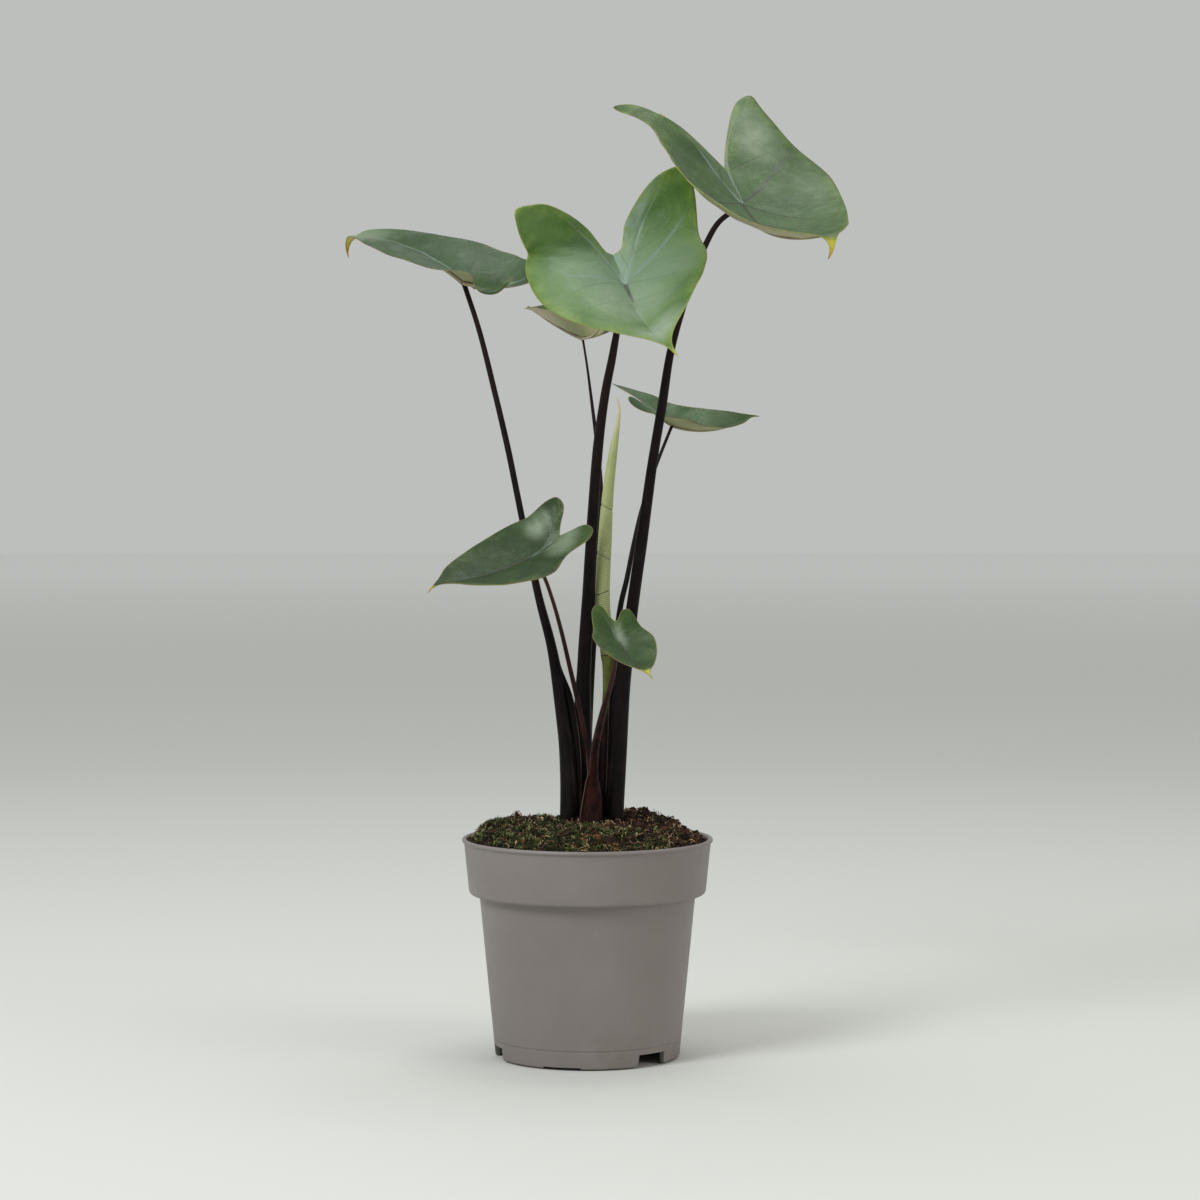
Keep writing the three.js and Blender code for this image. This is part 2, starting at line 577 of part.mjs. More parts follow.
const plant = new THREE.Group();
plant.add(makePot());
plant.add(makeSoil([...Object.values(STALKS), ROLLED_STALK].map(rooted)));
for (const [name, leaf] of Object.entries(LEAVES)) {
  const blade = placeBlade(leaf, named(`blade_${name}`, bladeGeometry(leaf), BLADE_MATERIAL));
  plant.add(blade);
  const red = name === "low" || name === "mid_left";
  const stalk = stalkUnder(rooted(STALKS[name]), leaf, blade);
  plant.add(named(`stalk_${name}`, stalk, red ? RED_STALK_MATERIAL : STALK_MATERIAL));
}
const rolledStalkTop = [...ROLLED_BLADE[0].slice(0, 2), ROLLED_FROM_Z - GAP, ROLLED_BLADE[0][3]];
const rolledStalk = stalkGeometry([...rooted(ROLLED_STALK), rolledStalkTop]);
plant.add(named("stalk_rolled", rolledStalk, RED_STALK_MATERIAL));
plant.add(named("blade_rolled", stalkGeometry(ROLLED_BLADE), ROLLED_MATERIAL));

export default plant;
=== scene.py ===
"""Looks of the potted black zebrina alocasia. Lengths are in millimetres until a mesh is made."""
from itertools import combinations
from math import ceil, cos, hypot, pi, radians, sin, tan

import bpy
import numpy as np
from mathutils import Matrix, Vector, geometry, noise


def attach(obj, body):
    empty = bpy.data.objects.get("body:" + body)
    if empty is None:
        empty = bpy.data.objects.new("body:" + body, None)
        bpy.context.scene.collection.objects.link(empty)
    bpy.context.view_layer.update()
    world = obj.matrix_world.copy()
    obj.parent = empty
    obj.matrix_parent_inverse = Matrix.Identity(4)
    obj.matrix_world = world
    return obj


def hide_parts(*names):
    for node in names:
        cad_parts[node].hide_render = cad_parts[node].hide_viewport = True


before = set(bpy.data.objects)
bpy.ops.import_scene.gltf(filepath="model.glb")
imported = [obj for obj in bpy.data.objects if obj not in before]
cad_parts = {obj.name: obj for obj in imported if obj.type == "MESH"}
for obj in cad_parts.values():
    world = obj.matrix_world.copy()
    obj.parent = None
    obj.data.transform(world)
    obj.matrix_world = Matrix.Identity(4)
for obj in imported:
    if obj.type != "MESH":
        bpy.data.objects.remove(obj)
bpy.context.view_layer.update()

SCENE = bpy.context.scene
MM = 0.001


# -------- camera

# The photo's camera: its focal length in pixels, its place in metres and how far it looks down
PHOTO_PIXELS, FOCAL_PIXELS, SENSOR = 1200, 3781, 36
CAMERA_AT, LOOKS_DOWN = (0.006, -1.8, 0.3125), 3


def make_camera():
    data = bpy.data.cameras.new("photo_camera")
    data.sensor_width = SENSOR
    data.lens = SENSOR * FOCAL_PIXELS / PHOTO_PIXELS
    data.clip_start, data.clip_end = 0.1, 20
    camera = bpy.data.objects.new("photo_camera", data)
    camera.location = CAMERA_AT
    camera.rotation_euler = (radians(90 - LOOKS_DOWN), 0, 0)
    SCENE.collection.objects.link(camera)
    SCENE.camera = camera


# -------- meshes

class Build:
    """Points, faces and fields (floats per point) of one piece that is joined from several forms."""

    def __init__(self, *fields):
        self.points, self.faces, self.count = [], [], 0
        self.fields = {name: [] for name in fields}

    def add(self, points, faces, **fields):
        self.faces.extend([tuple(v + self.count for v in f) for f in faces])
        self.points.append(np.asarray(points, float))
        self.count += len(points)
        for name, values in self.fields.items():
            value = np.asarray(fields.get(name, 0.0), float)
            values.append(np.broadcast_to(value, (len(points),)))

    def piece(self, name, material, slot, nodes=(), smooth=True, uv=None):
        """Makes the mesh, with uv as a pair per point."""
        mesh = bpy.data.meshes.new(name)
        mesh.from_pydata((np.concatenate(self.points) * MM).tolist(), [], self.faces)
        mesh.update()
        for field, values in self.fields.items():
            layer = mesh.attributes.new(field, "FLOAT", "POINT")
            layer.data.foreach_set("value", np.concatenate(values).astype(np.float32))
        if uv is not None:
            corners = np.zeros(len(mesh.loops), np.int32)
            mesh.loops.foreach_get("vertex_index", corners)
            layer = mesh.uv_layers.new(name="flat")
            layer.data.foreach_set("uv", np.asarray(uv, np.float32)[corners].ravel())
        mesh.polygons.foreach_set("use_smooth", [smooth] * len(mesh.polygons))
        mesh.materials.append(material)
        piece = bpy.data.objects.new(name, mesh)
        SCENE.collection.objects.link(piece)
        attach(piece, "root")
        if nodes:
            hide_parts(*nodes)


def ring_faces(rows, columns):
    """Quads between closed rings of points."""
    faces = []
    for i in range(rows - 1):
        for j in range(columns):
            a, b = i * columns + j, i * columns + (j + 1) % columns
            faces.append((a, b, b + columns, a + columns))
    return faces


def tube_faces(rows, columns):
    """Quads between closed rings of points, and a cap at each end."""
    last = (rows - 1) * columns
    caps = [tuple(range(columns))[::-1], tuple(range(last, last + columns))]
    return ring_faces(rows, columns) + caps


def flipped(faces):
    return [f[::-1] for f in faces]


def circle(radius, count, z=None, at=(0, 0)):
    """Points round a centre, in the plane or at a height."""
    turns = [2 * pi * k / count for k in range(count)]
    points = [(at[0] + radius * cos(a), at[1] + radius * sin(a)) for a in turns]
    return points if z is None else [(x, y, z) for x, y in points]


def smoothstep(x, low, high):
    t = np.clip((np.asarray(x, float) - low) / (high - low), 0, 1)
    return t * t * (3 - 2 * t)


def unit(v):
    return v / np.maximum(np.linalg.norm(v, axis=-1, keepdims=True), 1e-12)


def bumps(x, y, scale, layer):
    """Smooth noise from -1 to 1 over the plane."""
    return noise.noise(Vector((x * scale, y * scale, layer)))


def spline(points, samples):
    """Centripetal Catmull-Rom curve through the points, with its tangents."""
    p = np.asarray(points, float)
    p = np.vstack([2 * p[0] - p[1], p, 2 * p[-1] - p[-2]])
    last = len(p) - 3
    out, tangents = [], []
    for s in samples:
        i = min(int(s * last), last - 1)
        w = s * last - i
        a, b, c, d = p[i:i + 4]
        e0, e1, e2 = (max(np.linalg.norm(q - r), 1e-4) ** 0.5 for q, r in ((b, a), (c, b), (d, c)))
        t1 = ((b - a) / e0 - (c - a) / (e0 + e1) + (c - b) / e1) * e1
        t2 = ((c - b) / e1 - (d - b) / (e1 + e2) + (d - c) / e2) * e1
        c2, c3 = -3 * b + 3 * c - 2 * t1 - t2, 2 * b - 2 * c + t1 + t2
        out.append(b + t1 * w + c2 * w * w + c3 * w ** 3)
        tangents.append(t1 + 2 * c2 * w + 3 * c3 * w * w)
    return np.array(out), unit(np.array(tangents))


def spline_values(values, samples, total):
    """The same curve through numbers that lie evenly along a length."""
    knots = np.linspace(0, 1, len(values)) * total
    return spline(np.column_stack([knots, values, 0 * knots]), samples)[0][:, 1]


def across(tangents):
    """Two directions across a route that climbs: sideways and in depth."""
    depth = unit(np.cross(tangents, np.array([1.0, 0, 0])))
    return unit(np.cross(depth, tangents)), depth


# -------- materials

def linear(*screen):
    """A colour as seen on a screen, from 0 to 255, as linear light."""
    return tuple(((c / 255 + 0.055) / 1.055) ** 2.4 if c > 10 else c / 255 / 12.92 for c in screen)


class Tree:
    """A short way to write shader nodes. Colours are as seen on a screen, from 0 to 255."""

    def __init__(self, name):
        self.material = bpy.data.materials.new(name)
        self.material.use_nodes = True
        self.nodes = self.material.node_tree.nodes
        self.links = self.material.node_tree.links

    def fill(self, made, inputs):
        for key, value in inputs.items():
            if isinstance(value, bpy.types.NodeSocket):
                self.links.new(value, made.inputs[key])
            else:
                made.inputs[key].default_value = value

    def node(self, kind, inputs=(), **settings):
        """A node with its inputs by name or number."""
        made = self.nodes.new("ShaderNode" + kind)
        for key, value in settings.items():
            setattr(made, key, value)
        self.fill(made, dict(inputs))
        return made

    def math(self, operation, *values):
        return self.node("Math", enumerate(values), operation=operation).outputs[0]

    def times(self, a, b):
        return self.math("MULTIPLY", a, b)

    def plus(self, first, *others):
        for other in others:
            first = self.math("ADD", first, other)
        return first

    def field(self, name):
        return self.node("Attribute", attribute_name=name).outputs["Fac"]

    def where(self, *scale):
        """The place in metres, stretched by a scale along each axis."""
        place = self.node("TexCoord").outputs["Object"]
        if not scale:
            return place
        return self.node("Mapping", {"Vector": place, "Scale": scale}).outputs[0]

    def noise(self, scale, detail, roughness, vector=None):
        place = vector or self.where()
        inputs = {"Vector": place, "Scale": scale, "Detail": detail, "Roughness": roughness}
        return self.node("TexNoise", inputs).outputs["Fac"]

    def cells(self, scale, vector=None, feature="F1"):
        inputs = {"Vector": vector or self.where(), "Scale": scale}
        return self.node("TexVoronoi", inputs, feature=feature).outputs["Distance"]

    def ramp(self, value, *stops):
        """Each stop is its place and its colour's three parts."""
        made = self.node("ValToRGB", {0: value})
        elements = made.color_ramp.elements
        while len(elements) < len(stops):
            elements.new(0.5)
        for element, (at, *colour) in zip(elements, stops):
            element.position = at
            element.color = (*linear(*colour), 1)
        return made.outputs[0]

    def span(self, value, low, high, to_low=0.0, to_high=1.0):
        inputs = enumerate((value, low, high, to_low, to_high))
        return self.node("MapRange", inputs, interpolation_type="SMOOTHSTEP").outputs[0]

    def mix(self, share, a, b, kind="MIX"):
        return self.node("Mix", {0: share, 6: a, 7: b}, data_type="RGBA", blend_type=kind).outputs[2]

    def paint(self, share, under, *colour):
        """A colour over what lies under it."""
        return self.mix(share, under, (*linear(*colour), 1))

    def bump(self, height, distance, strength, **under):
        """under may give the Normal of a bump below this one."""
        inputs = {"Height": height, "Distance": distance, "Strength": strength, **under}
        return self.node("Bump", inputs).outputs[0]

    def finish(self, colour, roughness, specular, **more):
        inputs = {"Base Color": colour, "Roughness": roughness, "Specular IOR Level": specular, **more}
        self.fill(self.nodes["Principled BSDF"], inputs)
        return self.material


def pot_material():
    t = Tree("moulded_taupe_plastic")
    clouds = t.noise(18, 4, 0.6)
    colour = t.ramp(clouds, (0.3, 117, 110, 107), (0.7, 128, 121, 118))
    dust = t.span(t.noise(160, 6, 0.7), 0.62, 0.8)
    colour = t.paint(t.times(dust, 0.35), colour, 152, 141, 132)
    # Dried soil smeared on the foot
    height = t.node("SeparateXYZ", {0: t.where()}).outputs["Z"]
    low = t.span(height, 0.0, 0.028, 0.45, 0.0)
    smear = t.times(low, t.span(t.noise(60, 5, 0.65), 0.45, 0.75))
    colour = t.paint(smear, colour, 98, 88, 80)
    scuffs = t.bump(t.noise(900, 2, 0.5, t.where(1.0, 1.0, 0.25)), 0.00012, 0.5)
    rough = t.span(t.noise(70, 5, 0.6), 0.3, 0.7, 0.42, 0.56)
    return t.finish(colour, rough, 0.5, Normal=t.bump(clouds, 0.0009, 0.4, Normal=scuffs))


def blade_material():
    """Reads FIELDS, which make_blade writes. The UV map is the flat leaf."""
    t = Tree("zebrina_blade")
    under, fresh, bold = t.field("under"), t.field("fresh"), t.field("bold")

    def line(distance, half, soft):
        """1 on a line of a half width, and 0 beyond its soft margin."""
        return t.span(t.math("ABSOLUTE", distance), t.plus(half, soft), t.times(half, 0.3))

    def laterals(name):
        """Lines where a count of laterals passes a whole number."""
        index = t.field(name)
        part = t.math("SUBTRACT", t.math("FRACT", t.plus(index, 0.5)), 0.5)
        away = t.times(part, t.field(name + "_mm"))
        return t.times(line(away, t.field("thin"), 0.35), t.span(index, -0.4, -0.2))

    flat = t.node("UVMap", uv_map="flat").outputs[0]
    clouds = t.noise(5, 4, 0.55, flat)
    patches = t.noise(11, 3, 0.5, flat)
    fine = t.noise(120, 3, 0.6, flat)
    middle = line(t.field("rib"), bold, 0.5)
    costa = t.times(line(t.field("costa"), bold, 0.5), t.field("main"))
    main = t.math("MAXIMUM", t.times(middle, t.field("main")), costa)
    side = t.times(t.math("MAXIMUM", laterals("front"), laterals("lobe")), t.field("side"))
    net = t.span(t.cells(70, flat, "DISTANCE_TO_EDGE"), 0.0, 0.1, 1.0, 0.0)

    # The upper side: green with painted silvery sheen and highlights, light main veins and dark laterals
    dull = t.ramp(clouds, (0.3, 32, 58, 24), (0.7, 50, 78, 36))
    lush = t.ramp(clouds, (0.3, 56, 84, 36), (0.7, 80, 106, 52))
    top = t.mix(fresh, dull, lush)
    top = t.paint(t.span(patches, 0.48, 0.72, 0.0, 0.3), top, 84, 110, 74)
    # Painted sheen: a silvery highlight that is strongest near the middle of the leaf
    top = t.paint(t.field("silver"), top, 104, 124, 104)
    top = t.paint(t.span(fine, 0.45, 0.8, 0.0, 0.3), top, 44, 70, 34)
    top = t.paint(t.times(net, 0.08), top, 92, 114, 74)
    # Painted sheen: a silvery highlight band along the sinus, streaked along the lobe's main vein
    by_costa = {0: t.times(t.field("costa"), 0.35), 1: t.times(t.field("lobe"), 0.5)}
    streaks = t.noise(1.0, 3, 0.6, t.node("CombineXYZ", by_costa).outputs[0])
    top = t.paint(t.times(t.field("sheen"), t.span(streaks, 0.3, 0.7, 0.35, 1.0)), top, 118, 136, 124)
    # Partly the leaf's own shade and partly painted light and shade: each leaf is made brighter or darker
    # for how brightly it is lit
    top = t.mix(1.0, top, t.field("tone"), "MULTIPLY")
    cloudy = t.span(t.noise(7, 4, 0.6, flat), 0.25, 0.6, 0.55, 1.0)
    # Painted highlight: pale patches of silvery gloss
    top = t.paint(t.times(t.field("pale"), cloudy), top, 138, 154, 130)
    top = t.mix(t.times(t.field("deep"), cloudy), top, (0.55, 0.72, 0.3, 1), "MULTIPLY")
    top = t.paint(t.times(side, 0.8), top, 52, 50, 46)
    extra = t.times(t.field("extra"), line(t.field("extra_mm"), 0.45, 1.0))
    vein = t.paint(t.field("extra_light"), (*linear(54, 62, 50), 1), 132, 148, 140)
    top = t.mix(t.times(extra, 0.7), top, vein)
    top = t.paint(t.times(main, 0.75), top, 132, 148, 140)
    top = t.paint(t.times(middle, t.field("dark")), top, 54, 48, 44)

    # The underside: olive to cream, with brown veins
    low = t.ramp(clouds, (0.3, 122, 128, 84), (0.7, 150, 152, 108))
    low = t.paint(t.field("warm"), low, 190, 178, 152)
    low = t.paint(t.times(net, 0.25), low, 112, 124, 86)
    low = t.paint(t.times(main, 0.7), low, 150, 130, 112)

    # Both sides: a lime border, the tip and the thin edge
    colour = t.mix(under, top, low)
    border = t.times(t.span(t.field("edge"), 9.0, 0.0, 0.0, 0.6), fresh)
    colour = t.paint(t.times(border, t.span(patches, 0.35, 0.6)), colour, 112, 134, 54)
    colour = t.paint(t.field("yellow"), colour, 196, 186, 62)
    colour = t.paint(t.field("orange"), colour, 200, 122, 34)
    freshness = t.plus(t.times(fresh, 0.35), t.noise(9, 2, 0.5, flat))
    rim = t.ramp(freshness, (0.5, 112, 84, 68), (0.75, 142, 150, 60))
    colour = t.mix(t.times(t.span(t.field("edge"), 0.45, 0.12), 0.6), colour, rim)

    veins = t.plus(t.times(main, -0.7), t.times(side, -0.5))
    height = t.plus(veins, t.times(fine, 0.2), t.times(net, -0.1), t.times(patches, 2.5))
    rough = t.plus(t.span(patches, 0.35, 0.7, 0.46, 0.32), t.times(under, 0.15))
    return t.finish(colour, rough, 0.22, Normal=t.bump(height, 0.0005, 0.6))


def stalk_material(name, dark, light, top):
    """Fields: high is 0 at the soil and 1 at the blade, pale 1 on a sheath's margin, olive 1 where
    the stalk is green."""
    t = Tree(name)
    streaks = t.noise(1.0, 5, 0.65, t.where(700, 700, 60))
    mottle = t.noise(1.0, 3, 0.6, t.where(260, 260, 110))
    colour = t.ramp(mottle, (0.38, *dark), (0.68, *light))
    colour = t.paint(t.span(streaks, 0.5, 0.8, 0.0, 0.4), colour, *light)
    bands = t.span(t.noise(1.0, 2, 0.5, t.where(90, 90, 420)), 0.56, 0.66, 0.0, 0.35)
    colour = t.paint(bands, colour, *dark)
    colour = t.paint(t.span(t.field("high"), 0.55, 1.0, 0.0, 0.7), colour, *top)
    olive = t.ramp(streaks, (0.35, 84, 92, 44), (0.7, 122, 128, 70))
    colour = t.mix(t.field("olive"), colour, olive)
    colour = t.paint(t.field("pale"), colour, 128, 104, 88)
    rough = t.span(streaks, 0.3, 0.7, 0.34, 0.55)
    normal = t.bump(mottle, 0.0003, 0.35, Normal=t.bump(streaks, 0.0002, 0.6))
    return t.finish(colour, rough, 0.1, Normal=normal)


def rolled_material():
    """Fields: turn runs round the roll, high up it, crease is the way in mm to the nearest crease."""
    t = Tree("rolled_new_leaf")
    turn, high = t.field("turn"), t.field("high")
    slant = t.plus(t.times(high, 128.0), t.times(turn, 5.0), t.times(t.noise(50, 2, 0.5), 3.0))
    wave = t.math("SINE", t.times(slant, 2 * pi))
    stripes = t.span(t.plus(wave, t.noise(420, 3, 0.6)), -0.5, 1.6)
    colour = t.ramp(stripes, (0.0, 150, 160, 104), (1.0, 186, 192, 138))
    colour = t.paint(t.span(t.noise(60, 4, 0.6), 0.4, 0.7, 0.0, 0.35), colour, 122, 136, 80)
    colour = t.paint(t.span(high, 0.8, 1.0), colour, 206, 198, 168)
    colour = t.paint(t.span(high, 0.1, 0.0, 0.0, 0.8), colour, 98, 98, 48)
    colour = t.paint(t.span(high, -0.02, -0.16, 0.0, 0.9), colour, 70, 44, 32)
    # Painted shade along the creases of the roll
    crease = t.span(t.math("ABSOLUTE", t.field("crease")), 0.35, 0.08)
    colour = t.paint(t.times(crease, 0.8), colour, 70, 66, 40)
    normal = t.bump(t.math("SUBTRACT", stripes, crease), 0.0002, 0.5)
    return t.finish(colour, 0.45, 0.4, Normal=normal)


def soil_material():
    """Field: moss is 1 where moss grows."""
    t = Tree("peat")
    clods = t.noise(120, 6, 0.7)
    colour = t.ramp(clods, (0.3, 16, 11, 9), (0.5, 40, 28, 21), (0.62, 64, 45, 32), (0.75, 30, 21, 16))
    colour = t.paint(t.span(t.cells(420), 0.0, 0.45, 0.5, 0.0), colour, 30, 20, 14)
    green = t.times(t.field("moss"), t.span(t.noise(90, 4, 0.6), 0.35, 0.6))
    colour = t.paint(green, colour, 38, 44, 22)
    return t.finish(colour, 0.95, 0.2, Normal=t.bump(t.noise(500, 5, 0.7), 0.0008, 0.9))


def crumb_material():
    """Field: tone is one number for each crumb or straw."""
    t = Tree("peat_crumbs")
    browns = (0.0, 12, 8, 7), (0.35, 34, 23, 18), (0.65, 62, 41, 31), (0.82, 112, 72, 50)
    colour = t.ramp(t.field("tone"), *browns, (1.0, 204, 178, 134))
    colour = t.paint(t.span(t.noise(700, 4, 0.7), 0.4, 0.7, 0.0, 0.5), colour, 34, 24, 16)
    return t.finish(colour, 0.9, 0.2, Normal=t.bump(t.noise(1400, 4, 0.7), 0.0004, 0.9))


def moss_material():
    """Field: tone is one number for each small leaf."""
    t = Tree("dark_moss")
    greens = (0.0, 10, 13, 7), (0.35, 32, 42, 16), (0.65, 92, 104, 50), (1.0, 188, 190, 132)
    colour = t.ramp(t.field("tone"), *greens)
    colour = t.paint(t.span(t.noise(260, 3, 0.6), 0.5, 0.75, 0.0, 0.6), colour, 70, 62, 30)
    return t.finish(colour, 0.8, 0.3)


def floor_material():
    """Grows paler away from the pot."""
    t = Tree("pale_floor")
    away = t.node("VectorMath", {0: t.where()}, operation="LENGTH").outputs["Value"]
    share = t.math("DIVIDE", away, FLOOR_HALF)
    return t.finish(t.ramp(share, (0.25, 204, 205, 201), (0.85, 247, 248, 245)), 1.0, 0.0)


# -------- pot

LIP_RADIUS, LIP_THICK, POT_HEIGHT = 60, 2, 104.5
BAND_TOP, BAND_FOOT, BAND_FOOT_Z, BAND_ROUND = 59, 56.7, 77.8, 2
BODY_TOP, BODY_FOOT, FOOT_ROUND = 51.7, 44.2, 1.1
WALL, SKIRT_WALL, FLOOR_UNDER, FLOOR_TOP = 1.3, 2.5, 6.5, 8.3
INNER_FOOT, SKIRT_RADIUS = BODY_FOOT - WALL - 0.3, BODY_FOOT - SKIRT_WALL
# The parting line's points: a height of the body, how far they stand out from it, and their own height
PARTING_LINE = (8.3, -0.05, 8.25), (8.5, -0.22, 8.5), (8.7, 0.06, 8.7)
# Notches in the foot: the middle in degrees from the front, the width in degrees and the height.
# Each comes three times round the foot
NOTCHES = [(44, 22, 6.0), (104, 24, 1.0)]
HOLE_COUNT, HOLE_RING, HOLE_RADIUS, HOLE_SIDES = 6, 31, 3, 16
HOLES = circle(HOLE_RING, HOLE_COUNT)


def arc(cx, cz, radius, start, end, steps):
    angles = [radians(start + (end - start) * i / steps) for i in range(steps + 1)]
    return [(cx + radius * cos(a), cz + radius * sin(a)) for a in angles]


def body_radius(z):
    return BODY_FOOT + (BODY_TOP - BODY_FOOT) * (z - FOOT_ROUND) / (BAND_FOOT_Z - FOOT_ROUND)


def pot_profile():
    """From the inner foot round the outside and down the inside, and how many points lie low."""
    foot = [(SKIRT_RADIUS + 0.4, 0.0)] + arc(BODY_FOOT - FOOT_ROUND, FOOT_ROUND, FOOT_ROUND, -90, 0, 4)
    low = [(body_radius(z), z) for z in (3, 5, 6.6, 7.9)]
    parting_line = [(body_radius(z) + out, at) for z, out, at in PARTING_LINE]
    wall = [(body_radius(z), z) for z in np.linspace(9.4, BAND_FOOT_Z - 1.4, 12)]
    step = [(BODY_TOP + out, BAND_FOOT_Z - below) for out, below in ((0.1, 0.7), (0.6, 0.1), (1.6, 0))]
    corner = arc(BAND_FOOT - BAND_ROUND, BAND_FOOT_Z + BAND_ROUND, BAND_ROUND, -90, 0, 6)
    start, rise = BAND_FOOT_Z + BAND_ROUND, POT_HEIGHT - LIP_THICK - BAND_FOOT_Z - BAND_ROUND
    shares = (0.1, 0.3, 0.5, 0.7, 0.86, 0.95)
    band = [(BAND_FOOT + (BAND_TOP - BAND_FOOT) * s, start + rise * s) for s in shares]
    lip = arc(LIP_RADIUS - 1, POT_HEIGHT - LIP_THICK / 2, 1, -78, 100, 10)
    inner = [
        (BAND_TOP - WALL + 0.15, POT_HEIGHT - 0.35), (BAND_TOP - WALL, POT_HEIGHT - 1.0),
        (BAND_FOOT - WALL, BAND_FOOT_Z + 3), (BODY_TOP - WALL, BAND_FOOT_Z + WALL),
        (BODY_FOOT - WALL + 0.7, FLOOR_TOP + 1.2), (INNER_FOOT, FLOOR_TOP),
    ]
    return foot + low + parting_line + wall + step + corner + band + lip + inner, len(foot + low)


def turn_between(angle, other):
    """The way in degrees from one direction to another."""
    return abs((angle - other + 180) % 360 - 180)


def notch_height(angle):
    for middle, width, height in NOTCHES:
        if any(turn_between(angle, middle + 120 * i) < width / 2 for i in range(3)):
            return height
    return 0.0


def pot_angles():
    """Degrees from the front, with a pair of close columns at each notch's end."""
    angles = set(np.round(np.arange(0, 360, 2.0), 3))
    for middle, width, _ in NOTCHES:
        for i in range(3):
            for end in (middle - width / 2, middle + width / 2):
                at = (end + 120 * i) % 360
                angles = {a for a in angles if turn_between(a, at) > 0.8}
                angles |= {round((at - 0.25) % 360, 3), round((at + 0.25) % 360, 3)}
    return sorted(angles)


def make_pot(material):
    profile, low = pot_profile()
    rings = [[] for _ in range(len(profile) + 2)]
    directions = []
    for angle in pot_angles():
        # Measured from the front
        a = radians(angle - 90)
        directions.append((cos(a), sin(a)))
        cut = notch_height(angle)
        column = [(SKIRT_RADIUS, FLOOR_UNDER), (SKIRT_RADIUS, min(cut + 0.4, FLOOR_UNDER - 0.2))]
        for i, (r, z) in enumerate(profile):
            if i < low and z < cut:
                if i > 0 and z > 0.2:
                    r = max(r, body_radius(cut))
                z = cut
            column.append((r, z))
        for ring, (r, z) in zip(rings, column):
            ring.append((r * cos(a), r * sin(a), z))
    made = Build()
    made.add(np.concatenate(rings), ring_faces(len(rings), len(directions)))
    # The floor is a plate with drain holes, seen from above and below
    points, faces = floor_plate(INNER_FOOT, FLOOR_TOP, directions)
    made.add(points, faces)
    points, faces = floor_plate(SKIRT_RADIUS, FLOOR_UNDER, directions)
    made.add(points, flipped(faces))
    for hole in HOLES:
        wall = [p for z in (FLOOR_UNDER, FLOOR_TOP) for p in circle(HOLE_RADIUS, HOLE_SIDES, z, hole)]
        made.add(wall, flipped(ring_faces(2, HOLE_SIDES)))
    made.piece("pot_shell", material, "pot", ["pot"])


def floor_plate(outer, z, directions):
    """A disc to the outer radius with the drain holes left open."""
    outlines = [[(outer * c, outer * s) for c, s in directions]]
    outlines += [circle(HOLE_RADIUS, HOLE_SIDES, at=hole) for hole in HOLES]
    points, edges = [], []
    for outline in outlines:
        start, count = len(points), len(outline)
        points += [Vector(p) for p in outline]
        edges += [(start + j, start + (j + 1) % count) for j in range(count)]
    verts, _, faces, *_ = geometry.delaunay_2d_cdt(points, edges, [], 1, 1e-5)
    kept = []
    for face in faces:
        x, y = (sum(verts[v][k] for v in face) / len(face) for k in (0, 1))
        if all(hypot(x - cx, y - cy) > HOLE_RADIUS * 0.97 for cx, cy in HOLES):
            kept.append(tuple(face))
    return [(v.x, v.y, z) for v in verts], kept


# -------- soil

SOIL_RIM_Z, SOIL_CROWN_Z = 103, 112
SOIL_GAP = 0.3
SOIL_RADIUS = BAND_TOP - WALL - SOIL_GAP
SOIL_RINGS, SOIL_COLUMNS = 110, 240
# Where the soil is heaped: place, spread and height
CLUMPS = [(-42, 12, 17, 4), (28, 28, 17, 5)]
# How many of each lie on it
CRUMBS, CHIPS, STRAWS, TUFTS = 4600, 90, 900, 1250


def soil_height(x, y):
    """The soil's surface without its crumbs."""
    share = min(hypot(x, y) / SOIL_RADIUS, 1)
    z = SOIL_RIM_Z + (SOIL_CROWN_Z - SOIL_RIM_Z) * (1 - share ** 2.4)
    lift = 0.6 * (sin(0.31 * x + 1.7) * cos(0.27 * y - 0.4) + 0.6 * sin(0.53 * x - 0.41 * y))
    for cx, cy, spread, height in CLUMPS:
        lift += height * np.exp(-((x - cx) ** 2 + (y - cy) ** 2) / spread ** 2)
    return z + lift * float(smoothstep(z, SOIL_RIM_Z, SOIL_RIM_Z + 3))


def inward(x, y):
    """The way from the soil's rim."""
    return SOIL_RADIUS - hypot(x, y)


def mossy(x, y):
    """How much moss grows here: most on the left and in front, in patches."""
    edge = 5 - 0.34 * x - 0.3 * y + 26 * bumps(x, y, 0.06, 3.3)
    return float(smoothstep(edge + 20 * bumps(x, y, 0.17, 9.1), -3, 9))


def cushion(x, y):
    """1 on a cushion of moss and near 0 in the gaps between them."""
    return 0.06 + 0.94 * float(smoothstep(bumps(x, y, 0.21, 14.0), -0.12, 0.12))


def surface(x, y):
    """The soil's surface with its clods."""
    rough = 1.9 * bumps(x, y, 0.16, 1) + 1.5 * bumps(x, y, 0.38, 5) + 0.8 * bumps(x, y, 0.9, 8)
    return soil_height(x, y) + (rough - 0.3) * float(smoothstep(inward(x, y), 0, 7))


